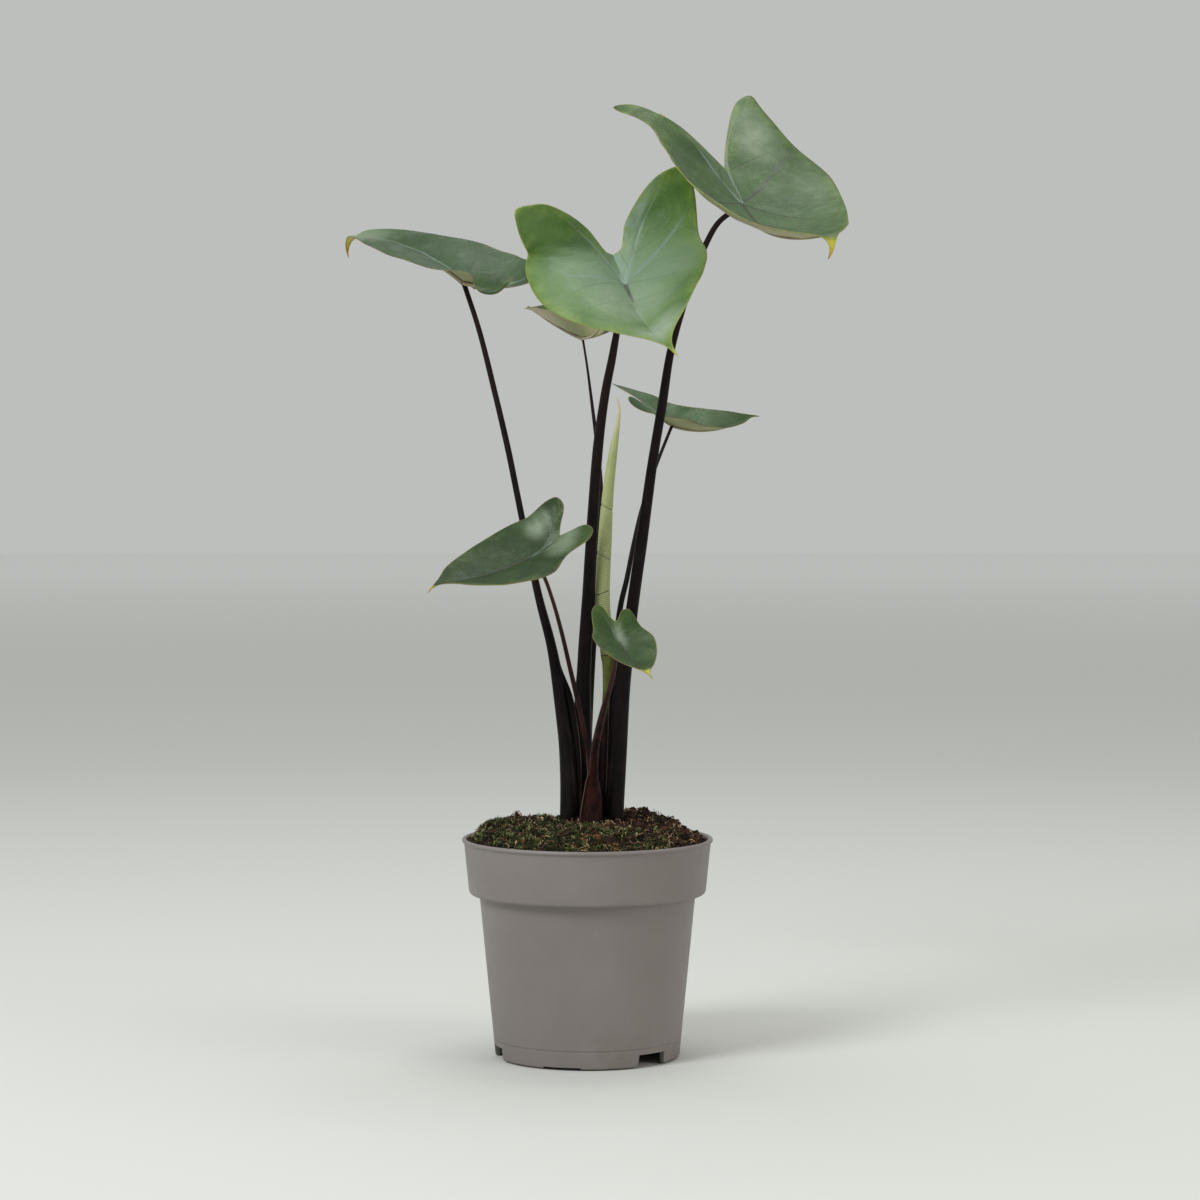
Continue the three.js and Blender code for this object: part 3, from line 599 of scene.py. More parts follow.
def make_soil(material):
    made = Build("moss")
    points = []
    for i in range(SOIL_RINGS):
        r = SOIL_RADIUS * (1 - i / SOIL_RINGS) ** 0.9
        fade = float(smoothstep(SOIL_RADIUS - r, 0, 3))
        for x, y in circle(r, SOIL_COLUMNS):
            points.append((x, y, surface(x, y) + 0.3 * bumps(x, y, 2.6, 8) * fade))
    moss = [mossy(x, y) for x, y, _ in points] + [0]
    points.append((0, 0, surface(0, 0)))
    centre = len(points) - 1
    last = centre - SOIL_COLUMNS
    fan = [(last + j, last + (j + 1) % SOIL_COLUMNS, centre) for j in range(SOIL_COLUMNS)]
    made.add(points, ring_faces(SOIL_RINGS, SOIL_COLUMNS) + fan, moss=moss)
    under = FLOOR_TOP + 0.3
    side = [
        (SOIL_RADIUS, SOIL_RIM_Z), (BAND_FOOT - WALL - SOIL_GAP, BAND_FOOT_Z + 3.3),
        (BODY_TOP - WALL - SOIL_GAP, BAND_FOOT_Z + WALL), (BODY_FOOT - WALL + 0.4, under), (0.01, under),
    ]
    rings = [p for r, z in side for p in circle(r, SOIL_COLUMNS, z)]
    made.add(rings, flipped(ring_faces(len(side), SOIL_COLUMNS)))
    made.piece("soil_bed", material, "soil", ["soil"])


def icosahedron():
    g = (1 + 5 ** 0.5) / 2
    corners = np.array([np.roll((a, b * g, 0), k) for k in range(3) for b in (1, -1) for a in (-1, 1)])
    faces = []
    for i, j, k in combinations(range(12), 3):
        a, b, c = corners[[i, j, k]]
        if max(hypot(*(a - b)), hypot(*(b - c)), hypot(*(c - a))) < 2.1:
            faces.append((i, j, k) if np.dot(np.cross(a, b), c) > 0 else (i, k, j))
    return unit(corners), faces


LUMP_CORNERS, LUMP_FACES = icosahedron()


def lump(rng, at, size, flat=1.0):
    """The points of an uneven little lump of 12 corners."""
    turn = np.array(Matrix.Rotation(rng.uniform(0, 6.28), 3, Vector(rng.normal(size=3))))
    shape = LUMP_CORNERS * rng.uniform(0.65, 1.25, (12, 1))
    shape = shape * np.array([1, rng.uniform(0.5, 1), rng.uniform(0.45, 0.9)])
    return np.asarray(at) + shape @ turn.T * np.array([1, 1, flat]) * size


def scatter(rng, count, wanted):
    """Points on the soil, kept with the chance that wanted(x, y) gives."""
    out = []
    while len(out) < count:
        r, a = SOIL_RADIUS * 0.985 * rng.uniform() ** 0.5, rng.uniform(0, 2 * pi)
        x, y = r * cos(a), r * sin(a)
        if rng.uniform() < wanted(x, y):
            out.append((x, y))
    return out


def barky(x, y):
    """How many chips of bark lie here: most of them in front."""
    return 0.15 + 0.85 * float(smoothstep(-y, 15, 50) * smoothstep(x, -20, 5))


def make_crumbs(material):
    rng = np.random.default_rng(11)
    made = Build("tone")
    for x, y in scatter(rng, CRUMBS, lambda x, y: 1.0 - 0.5 * mossy(x, y)):
        size = 0.4 + 1.3 * rng.uniform() ** 4
        if inward(x, y) >= size * 1.3:
            points = lump(rng, (x, y, surface(x, y) + rng.uniform(0.0, 0.6) * size), size)
            tone = rng.uniform(0, 0.85) ** 1.6 if rng.uniform() < 0.95 else rng.uniform(0.7, 1)
            made.add(points, LUMP_FACES, tone=tone)
    for x, y in scatter(rng, CHIPS, barky):
        if inward(x, y) > 3:
            points = lump(rng, (x, y, surface(x, y) + 0.8), rng.uniform(1.1, 2.3), 0.5)
            made.add(points, LUMP_FACES, tone=rng.uniform(0.55, 0.86))
    made.piece("soil_crumbs", material, "soil", smooth=False)


def tube(route, radii, sides):
    """A closed tube along a route of points."""
    route = np.asarray(route, float)
    tangents = unit(np.gradient(route, axis=0))
    seed = np.array([0.3, 0.2, 0.93]) if abs(tangents[0][2]) < 0.8 else np.array([1.0, 0.1, 0.0])
    points = []
    for p, t, r in zip(route, tangents, radii):
        u = unit(np.cross(t, seed))
        v = np.cross(t, u)
        points += [p + r * (c * u + s * v) for c, s in circle(1, sides)]
    return points, tube_faces(len(route), sides)


STRAW_STEPS = 6


def make_straws(material):
    rng = np.random.default_rng(23)
    made = Build("tone")
    for x, y in scatter(rng, STRAWS, lambda x, y: 1.0 - 0.4 * mossy(x, y)):
        step = rng.uniform(2, 12) / STRAW_STEPS
        heading, bend = rng.uniform(0, 2 * pi), rng.uniform(-1.2, 1.2)
        radius = rng.uniform(0.07, 0.26)
        px, py = x, y
        route = []
        while len(route) <= STRAW_STEPS and inward(px, py) >= 1:
            lift = 0.9 + 2.0 * bumps(px, py, 0.4, x)
            route.append((px, py, surface(px, py) + max(lift, 0.2)))
            px += cos(heading) * step
            py += sin(heading) * step
            heading += bend / STRAW_STEPS
        if len(route) > 2:
            radii = np.linspace(1, 0.5, len(route)) * radius
            made.add(*tube(route, radii, 5), tone=rng.uniform(0.3, 1) ** 0.8)
    made.piece("soil_fibres", material, "soil")


# A small pointed leaf of moss: its foot, two sides and tip, and a point below them
MOSS_FACES = [(3, 2, 1, 0), (0, 1, 4), (1, 2, 4), (2, 3, 4), (3, 0, 4)]
SHOOT_LEAVES = 4


def make_moss(material):
    """Tufts of short shoots, each shoot with a few small pointed leaves."""
    rng = np.random.default_rng(37)
    made = Build("tone")
    for cx, cy in scatter(rng, TUFTS, lambda x, y: mossy(x, y) ** 1.2 * cushion(x, y)):
        spread, tall = rng.uniform(0.6, 2.0), rng.uniform(0.6, 1.5)
        shade = float(np.clip(rng.normal(0.46, 0.28), 0, 1))
        for _ in range(int(4 + 3 * spread)):
            x, y = cx + rng.normal(0, spread), cy + rng.normal(0, spread)
            if inward(x, y) < 2.2:
                continue
            near = np.exp(-((x - cx) ** 2 + (y - cy) ** 2) / (2 * spread ** 2))
            height = tall * (0.6 + 0.9 * near) * rng.uniform(0.8, 1.3)
            shoot = np.array([*rng.normal(0, 0.3, 2), 1]) * height
            base = np.array([x, y, surface(x, y) - 0.2])
            for leaf in range(SHOOT_LEAVES):
                a = rng.uniform(0, 2 * pi)
                up = (leaf + 1) / SHOOT_LEAVES
                foot = base + shoot * up
                out = np.array([cos(a), sin(a), rng.uniform(0.2, 1.0)]) * rng.uniform(0.5, 0.95)
                wide = np.array([-sin(a), cos(a), 0]) * 0.17
                mid = foot + out * 0.5
                points = [foot, mid + wide, foot + out, mid - wide, mid - np.array([0, 0, 0.14])]
                made.add(points, MOSS_FACES, tone=min(shade * (0.55 + 0.6 * up), 1))
    made.piece("moss", material, "soil", smooth=False)


# -------- leaves

# Each leaf as in the solids: first the whole blade, then each half
WHOLE = (
    "at heading pitch roll length sinus neck neck_half arch hook hook_from sway twist back_twist "
    "rise rise_end"
)
HALF = "width shoulder lobe splay round outer offset inner fold curl lobe_fold lobe_curl tip_fold bulge"
# A vein of a half's own: degrees from the tail, start, end and bow in mm. This one lies off the blade
NO_VEIN = (90, 900, 901, 0)


def leaf_record(whole, left, right, cup=0):
    """cup is half the width of a rounded sinus; tip_fold and bulge may be left out."""
    leaf = dict(zip(WHOLE.split(), whole), cup=cup)
    for side, values in (("left", left), ("right", right)):
        half = {"bulge": 0.5, "costa_in": 0, "vein": NO_VEIN, "sheen": 0, **dict(zip(HALF.split(), values))}
        leaf[side] = {"tip_fold": half["fold"], **half}
    return leaf


LEAVES = {
    "high_left": leaf_record(
        ((-60, 42, 371.1), 135.7, 30.6, 8.8, 95.4, 8, 0.88, 0.05, -31, -116, 0.82, -8, -28, 29, 12, 0.6),
        (31, 0.38, 66, 42.6, 6.3, 0.58, 12, 0.61, 20, -37, 87, -125, 14),
        (32, 0.57, 45, 44.4, 6.7, 0.72, 30, 0.64, 54, -51, 50, 45, 21),
    ),
    "high_centre": leaf_record(
        ((17.5, -48, 366.4), -78.6, -26.8, 21.6, 85.4, 24, 0.9, 0.03, 9, -40, 0.8, 19, 20, 10, 56, 0.6),
        (41, 0.53, 69, 39.7, 6.5, 0.64, 28, 0.8, 10, -9, -1, -9, 10, 0.42),
        (48, 0.41, 73, 40.7, 6, 0.7, 24, 0.84, 47, -38, 61, -28, 47, 0.39), 4.5,
    ),
    "high_right": leaf_record(
        ((71.5, -50, 403.5), -72.5, -33.5, -21, 88, 31, 0.9, 0.03, 53, -136, 0.8, 21, 3, 28, 8, 0.6),
        (48, 0.53, 93, 16, 4.1, 0.69, 31, 0.68, 11, 38, 0, -15),
        (45, 0.42, 83, 41.5, 2.7, 0.65, 10, 0.75, -6, 33, 51, -69),
    ),
    "back": leaf_record(
        ((-2.5, 64, 344.1), 116.9, 10.3, -3.1, 64.2, 4, 0.89, 0.03, 12, -22, 0.8, 5, -12, 0, 8, 0.6),
        (22, 0.49, 44, 26.2, 6.9, 0.63, 27, 0.64, 52, -20, 79, -2, 45),
        (26, 0.49, 39, 34.4, 6.8, 0.64, 28, 0.64, 42, -9, 50, -8, 28),
    ),
    "mid_right": leaf_record(
        ((41, 35, 301.3), 17.7, -18.7, 7.9, 46.6, 10, 0.89, 0.03, 55, -39, 0.8, 12, 16, -16, 17, 0.25),
        (16, 0.5, 38, 38.7, 6.7, 0.63, 26, 0.64, 39, -5, 16, -2),
        (17, 0.49, 38, 34.2, 6.2, 0.62, 26, 0.64, 22, -5, -5, -27),
    ),
    "mid_left": leaf_record(
        ((-26, -35, 240), 201, -25, -23, 56, 17, 0.89, 0.03, 30, -56, 0.8, 2, 4, -14, 30, 0.6),
        (24, 0.48, 33, 28, 8, 0.61, 24, 0.68, 15, -15, 13, -12),
        (24, 0.48, 33, 23, 7.9, 0.72, 31, 0.63, 18, -8, 21, -5),
    ),
    "low": leaf_record(
        ((15, -50, 201.5), -72, -29, -4, 39, 13, 0.89, 0.03, 18, -25, 0.8, 18, -4, -1, 33, 0.6),
        (16, 0.48, 20, 22, 8.1, 0.75, 33, 0.65, 20, -7, 17, -6),
        (14, 0.48, 22, 24, 8.3, 0.62, 34, 0.67, 14, -13, 12, -14),
    ),
}
# What single halves have of their own: how many degrees the main vein is turned in, a vein, and a
# painted sheen, a silvery highlight band along the sinus
OWN = {
    ("high_centre", "left"): {"costa_in": 3, "vein": (50, 4, 56, 1.5), "sheen": 0.8},
    ("high_centre", "right"): {"costa_in": 8, "vein": (100, 6, 36, 0), "sheen": 0.25},
    ("high_right", "left"): {"costa_in": 1, "vein": (36, 2, 72, 2), "sheen": 0.3},
    ("high_right", "right"): {"costa_in": 2, "vein": (112, 3, 44, 3), "sheen": 0.2},
}
for (leaf_name, side_name), own in OWN.items():
    LEAVES[leaf_name][side_name].update(own)

# How each blade looks. Of the upper side: fresh is how green it is, tone how bright it is, partly its
# own shade and partly painted light and shade for how brightly each leaf is lit, and silver how strong
# the painted silvery sheen near its middle is; dark is how dark the midrib is, and dark_to where that
# ends; light is how light the main veins are, midrib how light the midrib is beside them, and bold how
# wide they start; plain is how plain the laterals are, and extra_light how light a vein of its own is.
# Of the tip: yellow_from is where its yellow begins, and orange how orange it ends. Of the underside:
# warm is how far it turns from olive to cream.
LOOK = "fresh yellow_from orange dark light plain tone extra_light silver dark_to bold midrib warm"
LOOKS = {
    "high_left": (0.1, 0.84, 0.9, 0.0, 0.8, 0.6, 0.84, 0, 0.28, 0.85, 0.85, 1.0, 0.7),
    "high_centre": (0.9, 0.93, 0.0, 0.85, 1.0, 0.5, 1.42, 0.8, 0.7, 0.34, 1.6, 0.0, 0.4),
    "high_right": (0.45, 0.86, 0.35, 0.85, 0.75, 1.5, 0.98, 0.1, 0.15, 0.7, 1.0, 0.1, 0.4),
    "back": (0.3, 0.9, 0.0, 0.0, 0.4, 0.3, 1.0, 0, 0.3, 0.85, 0.85, 0.5, 0.85),
    "mid_right": (0.05, 0.97, 0.0, 0.5, 0.3, 0.4, 1.2, 0, 0.2, 0.85, 0.85, 1.0, 0.05),
    "mid_left": (0.2, 0.9, 0.7, 0.8, 0.35, 0.4, 0.58, 0, 0.05, 0.85, 0.85, 0.5, 0.4),
    "low": (0.25, 0.79, 0.0, 0.7, 0.35, 0.4, 0.8, 0, 0.05, 0.85, 0.85, 0.3, 0.4),
}
# Soft patches, pale ones of painted silvery highlight and deep ones of deeper green: the middle and
# half widths on the flat leaf in mm, and how strong
PATCHES = {
    "high_left": {"pale": [(78, 4, 30, 26, 0.55)], "deep": [(40, -14, 24, 12, 0.4)]},
    "high_centre": {
        "pale": [
            (30, -2, 34, 30, 0.75), (64, 3, 20, 22, 1.1), (4, 30, 30, 26, 0.35), (-14, -26, 26, 18, 0.25),
        ],
        "deep": [(87, 1, 17, 14, 1.7), (-40, 43, 26, 9, 0.55)],
    },
    "high_right": {
        "pale": [(-62, 20, 34, 20, 0.62), (-12, 40, 20, 12, 0.15)],
        "deep": [(2, 12, 34, 28, 0.5), (-16, -22, 30, 14, 0.4), (-49, 37, 14, 9, 0.7)],
    },
    "mid_right": {"pale": [(24, 4, 26, 14, 0.3)]},
    "mid_left": {"pale": [(-16, 6, 14, 12, 0.8), (-14, -12, 12, 9, 0.8)]},
    "low": {"pale": [(-4, 1, 15, 4, 0.6)]},
}
# What the blade's material reads. under is 1 on the underside and edge the way to the margin in mm.
# rib, costa and extra_mm are mm from the midrib, a lobe's main vein and a vein of its own; front and
# lobe count the laterals, and front_mm and lobe_mm are the mm between two of them. main, side and
# extra are how plain the veins show, and bold and thin their half widths. sheen and pale are painted
# silvery sheen and highlights, deep is deeper green, and the others come from LOOKS.
FIELDS = (
    "under edge rib costa extra_mm front lobe front_mm lobe_mm main side extra bold thin sheen pale deep "
    "yellow orange fresh dark silver tone extra_light warm"
).split()
# Steps between two key points of an outline, the key point where it is widest, points from the midrib
# to the margin, and steps of the bend
CURVE_STEPS, WIDEST, ACROSS, BEND_STEPS = 9, 4, 26, 24
# In mm: where the twist has its full slope, how thick the blade is inside and at the margin, the length
# that the veins are drawn for, and one unit of the UV map
SOFT_START, SKIN_THICK, EDGE_THICK, FULL_LENGTH, UV_UNIT = 12, 0.5, 0.34, 88, 100
RIB_SIDES, RIB_GAP = 8, 0.05


def polar(radius, degrees):
    return radius * cos(radians(degrees)), radius * sin(radians(degrees))


def half_outline(leaf, half):
    back = 180 - half["splay"]
    length, width, lobe, turned = leaf["length"], half["width"], half["lobe"], half["round"]
    key = [
        (length, 0), (leaf["neck"] * length, leaf["neck_half"] * length),
        (0.7 * length, half["shoulder"] * width), (0.38 * length, 0.86 * width), (0.02 * length, width),
        polar(half["outer"] * lobe, back - half["offset"]), polar(0.93 * lobe, back - turned),
        polar(lobe, back), polar(0.93 * lobe, back + turned),
        polar(half["inner"] * lobe, back + 2 * turned), (-leaf["sinus"], 0),
    ]
    if leaf["cup"]:
        x, y = key[-2]
        full = ((x - leaf["sinus"]) / 2, half["bulge"] * y)
        key[-1:-1] = [full, (-leaf["sinus"] - 0.3 * leaf["cup"], leaf["cup"])]
    samples = np.linspace(0, 1, (len(key) - 1) * CURVE_STEPS + 1)
    return spline([(x, y, 0) for x, y in key], samples)[0][:, :2]


def soft_ramp(x):
    """Grows from 0 like x, with a soft start."""
    near = np.clip(x + SOFT_START, 0, 2 * SOFT_START)
    return near * near / (4 * SOFT_START) + np.maximum(x - SOFT_START, 0)


def midrib_angles(leaf, x):
    """Slope, swing and twist of the midrib at each x."""
    x = np.asarray(x, float)
    lobes = max(leaf["left"]["lobe"], leaf["right"]["lobe"])
    front = x >= 0
    u = np.where(front, x / leaf["length"], -x / lobes)
    ahead = leaf["arch"] * u + leaf["hook"] * smoothstep(u, leaf["hook_from"], 1)
    slope = np.where(front, ahead, -leaf["rise"] * smoothstep(u, 0, leaf["rise_end"]))
    swing = np.where(front, leaf["sway"] * u * u, 0)
    twist = leaf["twist"] * soft_ramp(x) / leaf["length"] + leaf["back_twist"] * soft_ramp(-x) / lobes
    return np.radians(slope), np.radians(swing), np.radians(twist)


def along(slope, swing):
    return np.stack([np.cos(slope) * np.cos(swing), np.cos(slope) * np.sin(swing), np.sin(slope)], -1)


def bent(leaf, flat):
    """Flat leaf points [x, y], bent to their places before the blade is turned."""
    x, y = np.asarray(flat, float).T
    point = np.zeros((len(x), 3))
    steps = (np.arange(BEND_STEPS) + 0.5) / BEND_STEPS
    for step in steps:
        slope, swing, _ = midrib_angles(leaf, x * step)
        point += along(slope, swing) * (x / BEND_STEPS)[:, None]
    slope, swing, twist = midrib_angles(leaf, x)
    level = np.stack([-np.sin(swing), np.cos(swing), 0 * swing], -1)
    normal = np.cross(along(slope, swing), level)
    c, s = np.cos(twist)[:, None], np.sin(twist)[:, None]
    side, up = level * c + normal * s, normal * c - level * s
    half = {k: np.where(y >= 0, leaf["left"][k], leaf["right"][k]) for k in HALF.split()}
    reach = 0.85 * half["lobe"]
    front = smoothstep((x + reach) / (0.15 * leaf["length"] + reach), 0, 1)
    fold = half["lobe_fold"] + (half["fold"] - half["lobe_fold"]) * front
    fold = fold + (half["tip_fold"] - half["fold"]) * smoothstep(x, 0, 0.75 * leaf["length"])
    curl = half["lobe_curl"] + (half["curl"] - half["lobe_curl"]) * front
    away = np.abs(y)
    for step in steps:
        angle = np.radians(fold + curl * away * step / half["width"])
        point += side * (np.sign(y) * np.cos(angle) * away / BEND_STEPS)[:, None]
        point += up * (np.sin(angle) * away / BEND_STEPS)[:, None]
    return point


def blade_turn(leaf):
    turn = Matrix.Identity(3)
    for key, sign, axis in (("heading", 1, "Z"), ("pitch", -1, "Y"), ("roll", 1, "X")):
        turn = turn @ Matrix.Rotation(sign * radians(leaf[key]), 3, axis)
    return np.array(turn)


def blade_grid(leaf, outlines):
    """Flat points in rows, each from the left margin over the midrib to the right margin."""
    last = len(outlines[0]) - 1
    front = WIDEST * CURVE_STEPS
    level = (outlines[0][:, 0] + outlines[1][:, 0]) / 2
    index = np.arange(last + 1)
    ease = np.clip((index - front) / (last - front), 0, 1) ** 2
    root = np.where(index <= front, level, level[front] + (-leaf["sinus"] - level[front]) * ease)
    share = 1 - (1 - np.linspace(0, 1, ACROSS)) ** 1.15
    halves = []
    for line, side in zip(outlines, (1, -1)):
        x = root[:, None] + (line[:, 0] - root)[:, None] * share
        halves.append(np.stack([x, line[:, 1][:, None] * share * side], -1))
    return np.concatenate([halves[0][:, ::-1], halves[1][:, 1:]], 1)


def costa_bow(half, reach):
    """How far a lobe's main vein lies off the lobe's middle, towards the sinus."""
    bow = -0.085 * half["lobe"] * np.sin(np.clip(reach / half["lobe"], 0, 1) * pi)
    return bow - np.maximum(reach, 0) * tan(radians(half["costa_in"]))


def own_vein(vein, x, y):
    """How strongly points of one half lie on a vein of its own, and their way to it in mm."""
    degrees, start, end, bow = vein
    a = radians(180 - degrees)
    reach = x * cos(a) + y * sin(a)
    bend = bow * np.sin(np.clip(reach / end, 0, 1) * pi)
    near = smoothstep(reach, start - 4, start + 2) * (1 - smoothstep(reach, 0.6 * end, end))
    return near, x * sin(a) - y * cos(a) - bend


def vein_fields(leaf, flat, side):
    """Fields that count and place the veins, for flat points of one side (1 left, -1 right)."""
    half = leaf["left"] if side > 0 else leaf["right"]
    x, y = flat[:, 0], np.abs(flat[:, 1])
    length, width, lobe = leaf["length"], half["width"], half["lobe"]
    gap, lobe_gap = length / 4.4, lobe / 3.4
    front = (x - 0.5 * y - 0.3 * y * y / width) / gap
    a = radians(180 - half["splay"])
    reach = x * cos(a) + y * sin(a)
    costa = x * sin(a) - y * cos(a) - costa_bow(half, reach)
    index = (reach - 1.25 * np.abs(costa)) / lobe_gap
    index = np.where(costa < 0, index - 0.6, index)
    costa = np.where(reach < 0, 9, costa)
    main_front = 0.8 * (1 - smoothstep(x / length, 0.45, 0.95))
    main_lobe = 0.9 * (1 - smoothstep(reach / lobe, 0.4, 0.85))
    fade_front = 0.75 * (1 - smoothstep(y / width, 0.25, 0.95)) * (1 - smoothstep(front, 0.4, 2.6))
    fade_lobe = 0.6 * (1 - smoothstep(np.abs(costa) / width, 0.1, 0.6)) * (1 - smoothstep(index, 0.3, 2.4))
    extra, extra_mm = own_vein(half["vein"], x, y)
    # Painted sheen: a silvery highlight band between the lobe's main vein and the sinus
    sheen = half["sheen"] * smoothstep(costa, 1, -4) * (1 - smoothstep(reach / lobe, 0.6, 1))
    return {
        "extra": extra, "extra_mm": extra_mm, "sheen": sheen * (x < 4), "costa": costa,
        "rib": flat[:, 1] + np.where(x < 0, 3 * np.minimum(-x, 3), 0) * side,
        "front": front, "lobe": np.where(reach > 0, index, -1.0),
        "front_mm": gap * 0.85, "lobe_mm": lobe_gap * 0.65,
        "main": np.where((x > 0) & (np.abs(costa) > 2), main_front, main_lobe),
        "side": np.where(x > 0, np.maximum(fade_front, fade_lobe * (reach > 0)), fade_lobe),
    }


def edge_distance(flat, outline, side):
    """The way from each flat point to the margin."""
    line = outline * np.array([1, side])
    best = np.full(len(flat), 1e9)
    for a, b in zip(line[:-1], line[1:]):
        d = b - a
        t = np.clip(((flat - a) @ d) / max(d @ d, 1e-9), 0, 1)
        best = np.minimum(best, np.linalg.norm(flat - a - t[:, None] * d, axis=1))
    return best


def blade_fields(name, leaf, flat, outlines, size):
    """FIELDS of the sheet, apart from under."""
    look = dict(zip(LOOK.split(), LOOKS[name]))
    points = flat.reshape(-1, 2)
    x, y = points.T
    fields = {key: np.zeros(len(x)) for key in FIELDS}
    column = np.tile(np.arange(flat.shape[1]), len(flat))
    halves = (1, outlines[0], column < ACROSS), (-1, outlines[1], column >= ACROSS - 1)
    for side, outline, chosen in halves:
        fields["edge"][chosen] = edge_distance(points[chosen], outline, side)
        for key, values in vein_fields(leaf, points[chosen], side).items():
            fields[key][chosen] = values
    reach = np.clip(x / leaf["length"], 0, 1)
    away = np.hypot(x, y) / leaf["length"]
    on_midrib = (x > 0) & (np.abs(fields["costa"]) > 2)
    fields["main"] *= look["light"] * np.where(on_midrib, look["midrib"], 1)
    fields["side"] *= look["plain"]
    dark_to, bold = look["dark_to"], look["bold"]
    fields.update({key: look[key] for key in ("fresh", "tone", "extra_light")})
    fields.update(
        thin=0.3 * size,
        bold=size * np.clip(bold - (2 * bold - 0.95) * away, 0.25, bold),
        yellow=0.85 * smoothstep(reach, look["yellow_from"], look["yellow_from"] + 0.06),
        orange=look["orange"] * smoothstep(reach, 0.9, 1),
        dark=look["dark"] * (1 - smoothstep(reach, 0.35 * dark_to, dark_to)) * (x > 0),
        # Painted silvery sheen, strongest near the stalk
        silver=look["silver"] * (1 - smoothstep(away, 0.08, 0.6)),
        warm=look["warm"] * smoothstep(away, 0.1, 0.6),
    )
    # The pale patches are painted highlights of silvery gloss; the deep ones are deeper green
    for key, patches in PATCHES.get(name, {}).items():
        for x0, y0, wide, high, strength in patches:
            off = np.hypot((x - x0) / wide, (y - y0) / high)
            fields[key] = np.maximum(fields[key], strength * (1 - smoothstep(off, 0.1, 1)))
    # A rib's fields: it has no laterals and no margin
    rib = {"under": 1, "edge": 9, "thin": 0.3, "bold": 0.9 * size, "main": 0.6, "tone": 1}
    rib.update(front=-1, lobe=-1, warm=look["warm"])
    return fields, rib, look["yellow_from"]


def blade_relief(leaf, points, fields, size):
    """How far the blade swells between its veins and waves along the margin."""
    x = points[:, 0]
    inner = np.minimum(fields["edge"] / (6 * size), 1)
    front, lobe = (np.cos(2 * pi * fields[key]) * (fields[key] > -0.5) for key in ("front", "lobe"))
    swell = -0.16 * size * np.where(x > 0, front, lobe) * inner
    shift = Vector([leaf["length"] * s for s in (7.3, 3.1, 5.7)])
    waves = np.array([noise.noise(Vector((*p, 0)) * (0.055 / size) + shift) for p in points])
    return swell + 0.9 * size * waves * (1 - inner) * smoothstep(leaf["length"] - x, 2, 12)


def make_blade(name, leaf, material):
    size = leaf["length"] / FULL_LENGTH
    outlines = [half_outline(leaf, leaf[side]) for side in ("left", "right")]
    flat = blade_grid(leaf, outlines)
    points = flat.reshape(-1, 2)
    fields, rib, yellow_from = blade_fields(name, leaf, flat, outlines, size)
    middle = bent(leaf, points).reshape(*flat.shape[:2], 3)
    normal = unit(np.cross(np.gradient(middle, axis=0), np.gradient(middle, axis=1)))
    # On the midrib the normal is that of both sides
    beside = unit(normal[:, ACROSS - 2] + normal[:, ACROSS])[:, None]
    normal = unit(np.where(np.abs(flat[..., 1:]) < 1e-6, beside, normal)).reshape(-1, 3)
    top_faces = sheet_faces(flat)
    if np.mean(normal[:, 2]) < 0:
        normal = -normal
    else:
        top_faces = flipped(top_faces)
    base = middle.reshape(-1, 3) + normal * blade_relief(leaf, points, fields, size)[:, None]
    thick = EDGE_THICK + (SKIN_THICK - EDGE_THICK) * smoothstep(fields["edge"], 0, 2)
    skin = normal * (thick / 2)[:, None]
    turn, at = blade_turn(leaf), np.array(leaf["at"], float)
    made = Build(*FIELDS)
    made.add((base + skin) @ turn.T + at, top_faces, **{**fields, "under": 0})
    made.add((base - skin) @ turn.T + at, flipped(top_faces), **{**fields, "under": 1})
    made.faces.extend(boundary_faces(top_faces, len(base)))
    uv = [points, points]
    # Ribs stand out on the underside
    for route, radii in rib_routes(leaf, size):
        spine = bent(leaf, route) - blade_normals(leaf, route) * (radii + RIB_GAP)[:, None]
        yellow = smoothstep(route[:, 0] / leaf["length"], yellow_from, 1)
        made.add(*tube(spine @ turn.T + at, radii, RIB_SIDES), **rib, yellow=np.repeat(yellow, RIB_SIDES))
        uv.append(np.repeat(route, RIB_SIDES, axis=0))
    uv = np.concatenate(uv) / UV_UNIT + 0.5
    made.piece("leaf_" + name, material, "blade", ["blade_" + name], uv=uv)


def sheet_faces(flat):
    """Quads of the sheet, without those that shrink to nothing."""
    rows, columns = flat.shape[:2]
    points = [tuple(p) for p in np.round(flat.reshape(-1, 2), 4) + 0.0]
    faces = []
    for i in range(rows - 1):
        for j in range(columns - 1):
            a = i * columns + j
            kept = {}
            for v in (a, a + 1, a + 1 + columns, a + columns):
                kept.setdefault(points[v], v)
            if len(kept) > 2:
                faces.append(tuple(kept.values()))
    return faces


def boundary_faces(faces, count):
    """Quads that join the two skins round their open edge."""
    edges = {pair for face in faces for pair in zip(face, face[1:] + face[:1])}
    return [(b, a, a + count, b + count) for a, b in sorted(edges) if (b, a) not in edges]


def blade_normals(leaf, route):
    """The blade's own upward direction along a route of flat points."""
    step = 0.4
    ahead, aside = (bent(leaf, route + d) - bent(leaf, route - d) for d in np.array([[step, 0], [0, step]]))
    return unit(np.cross(ahead, aside))


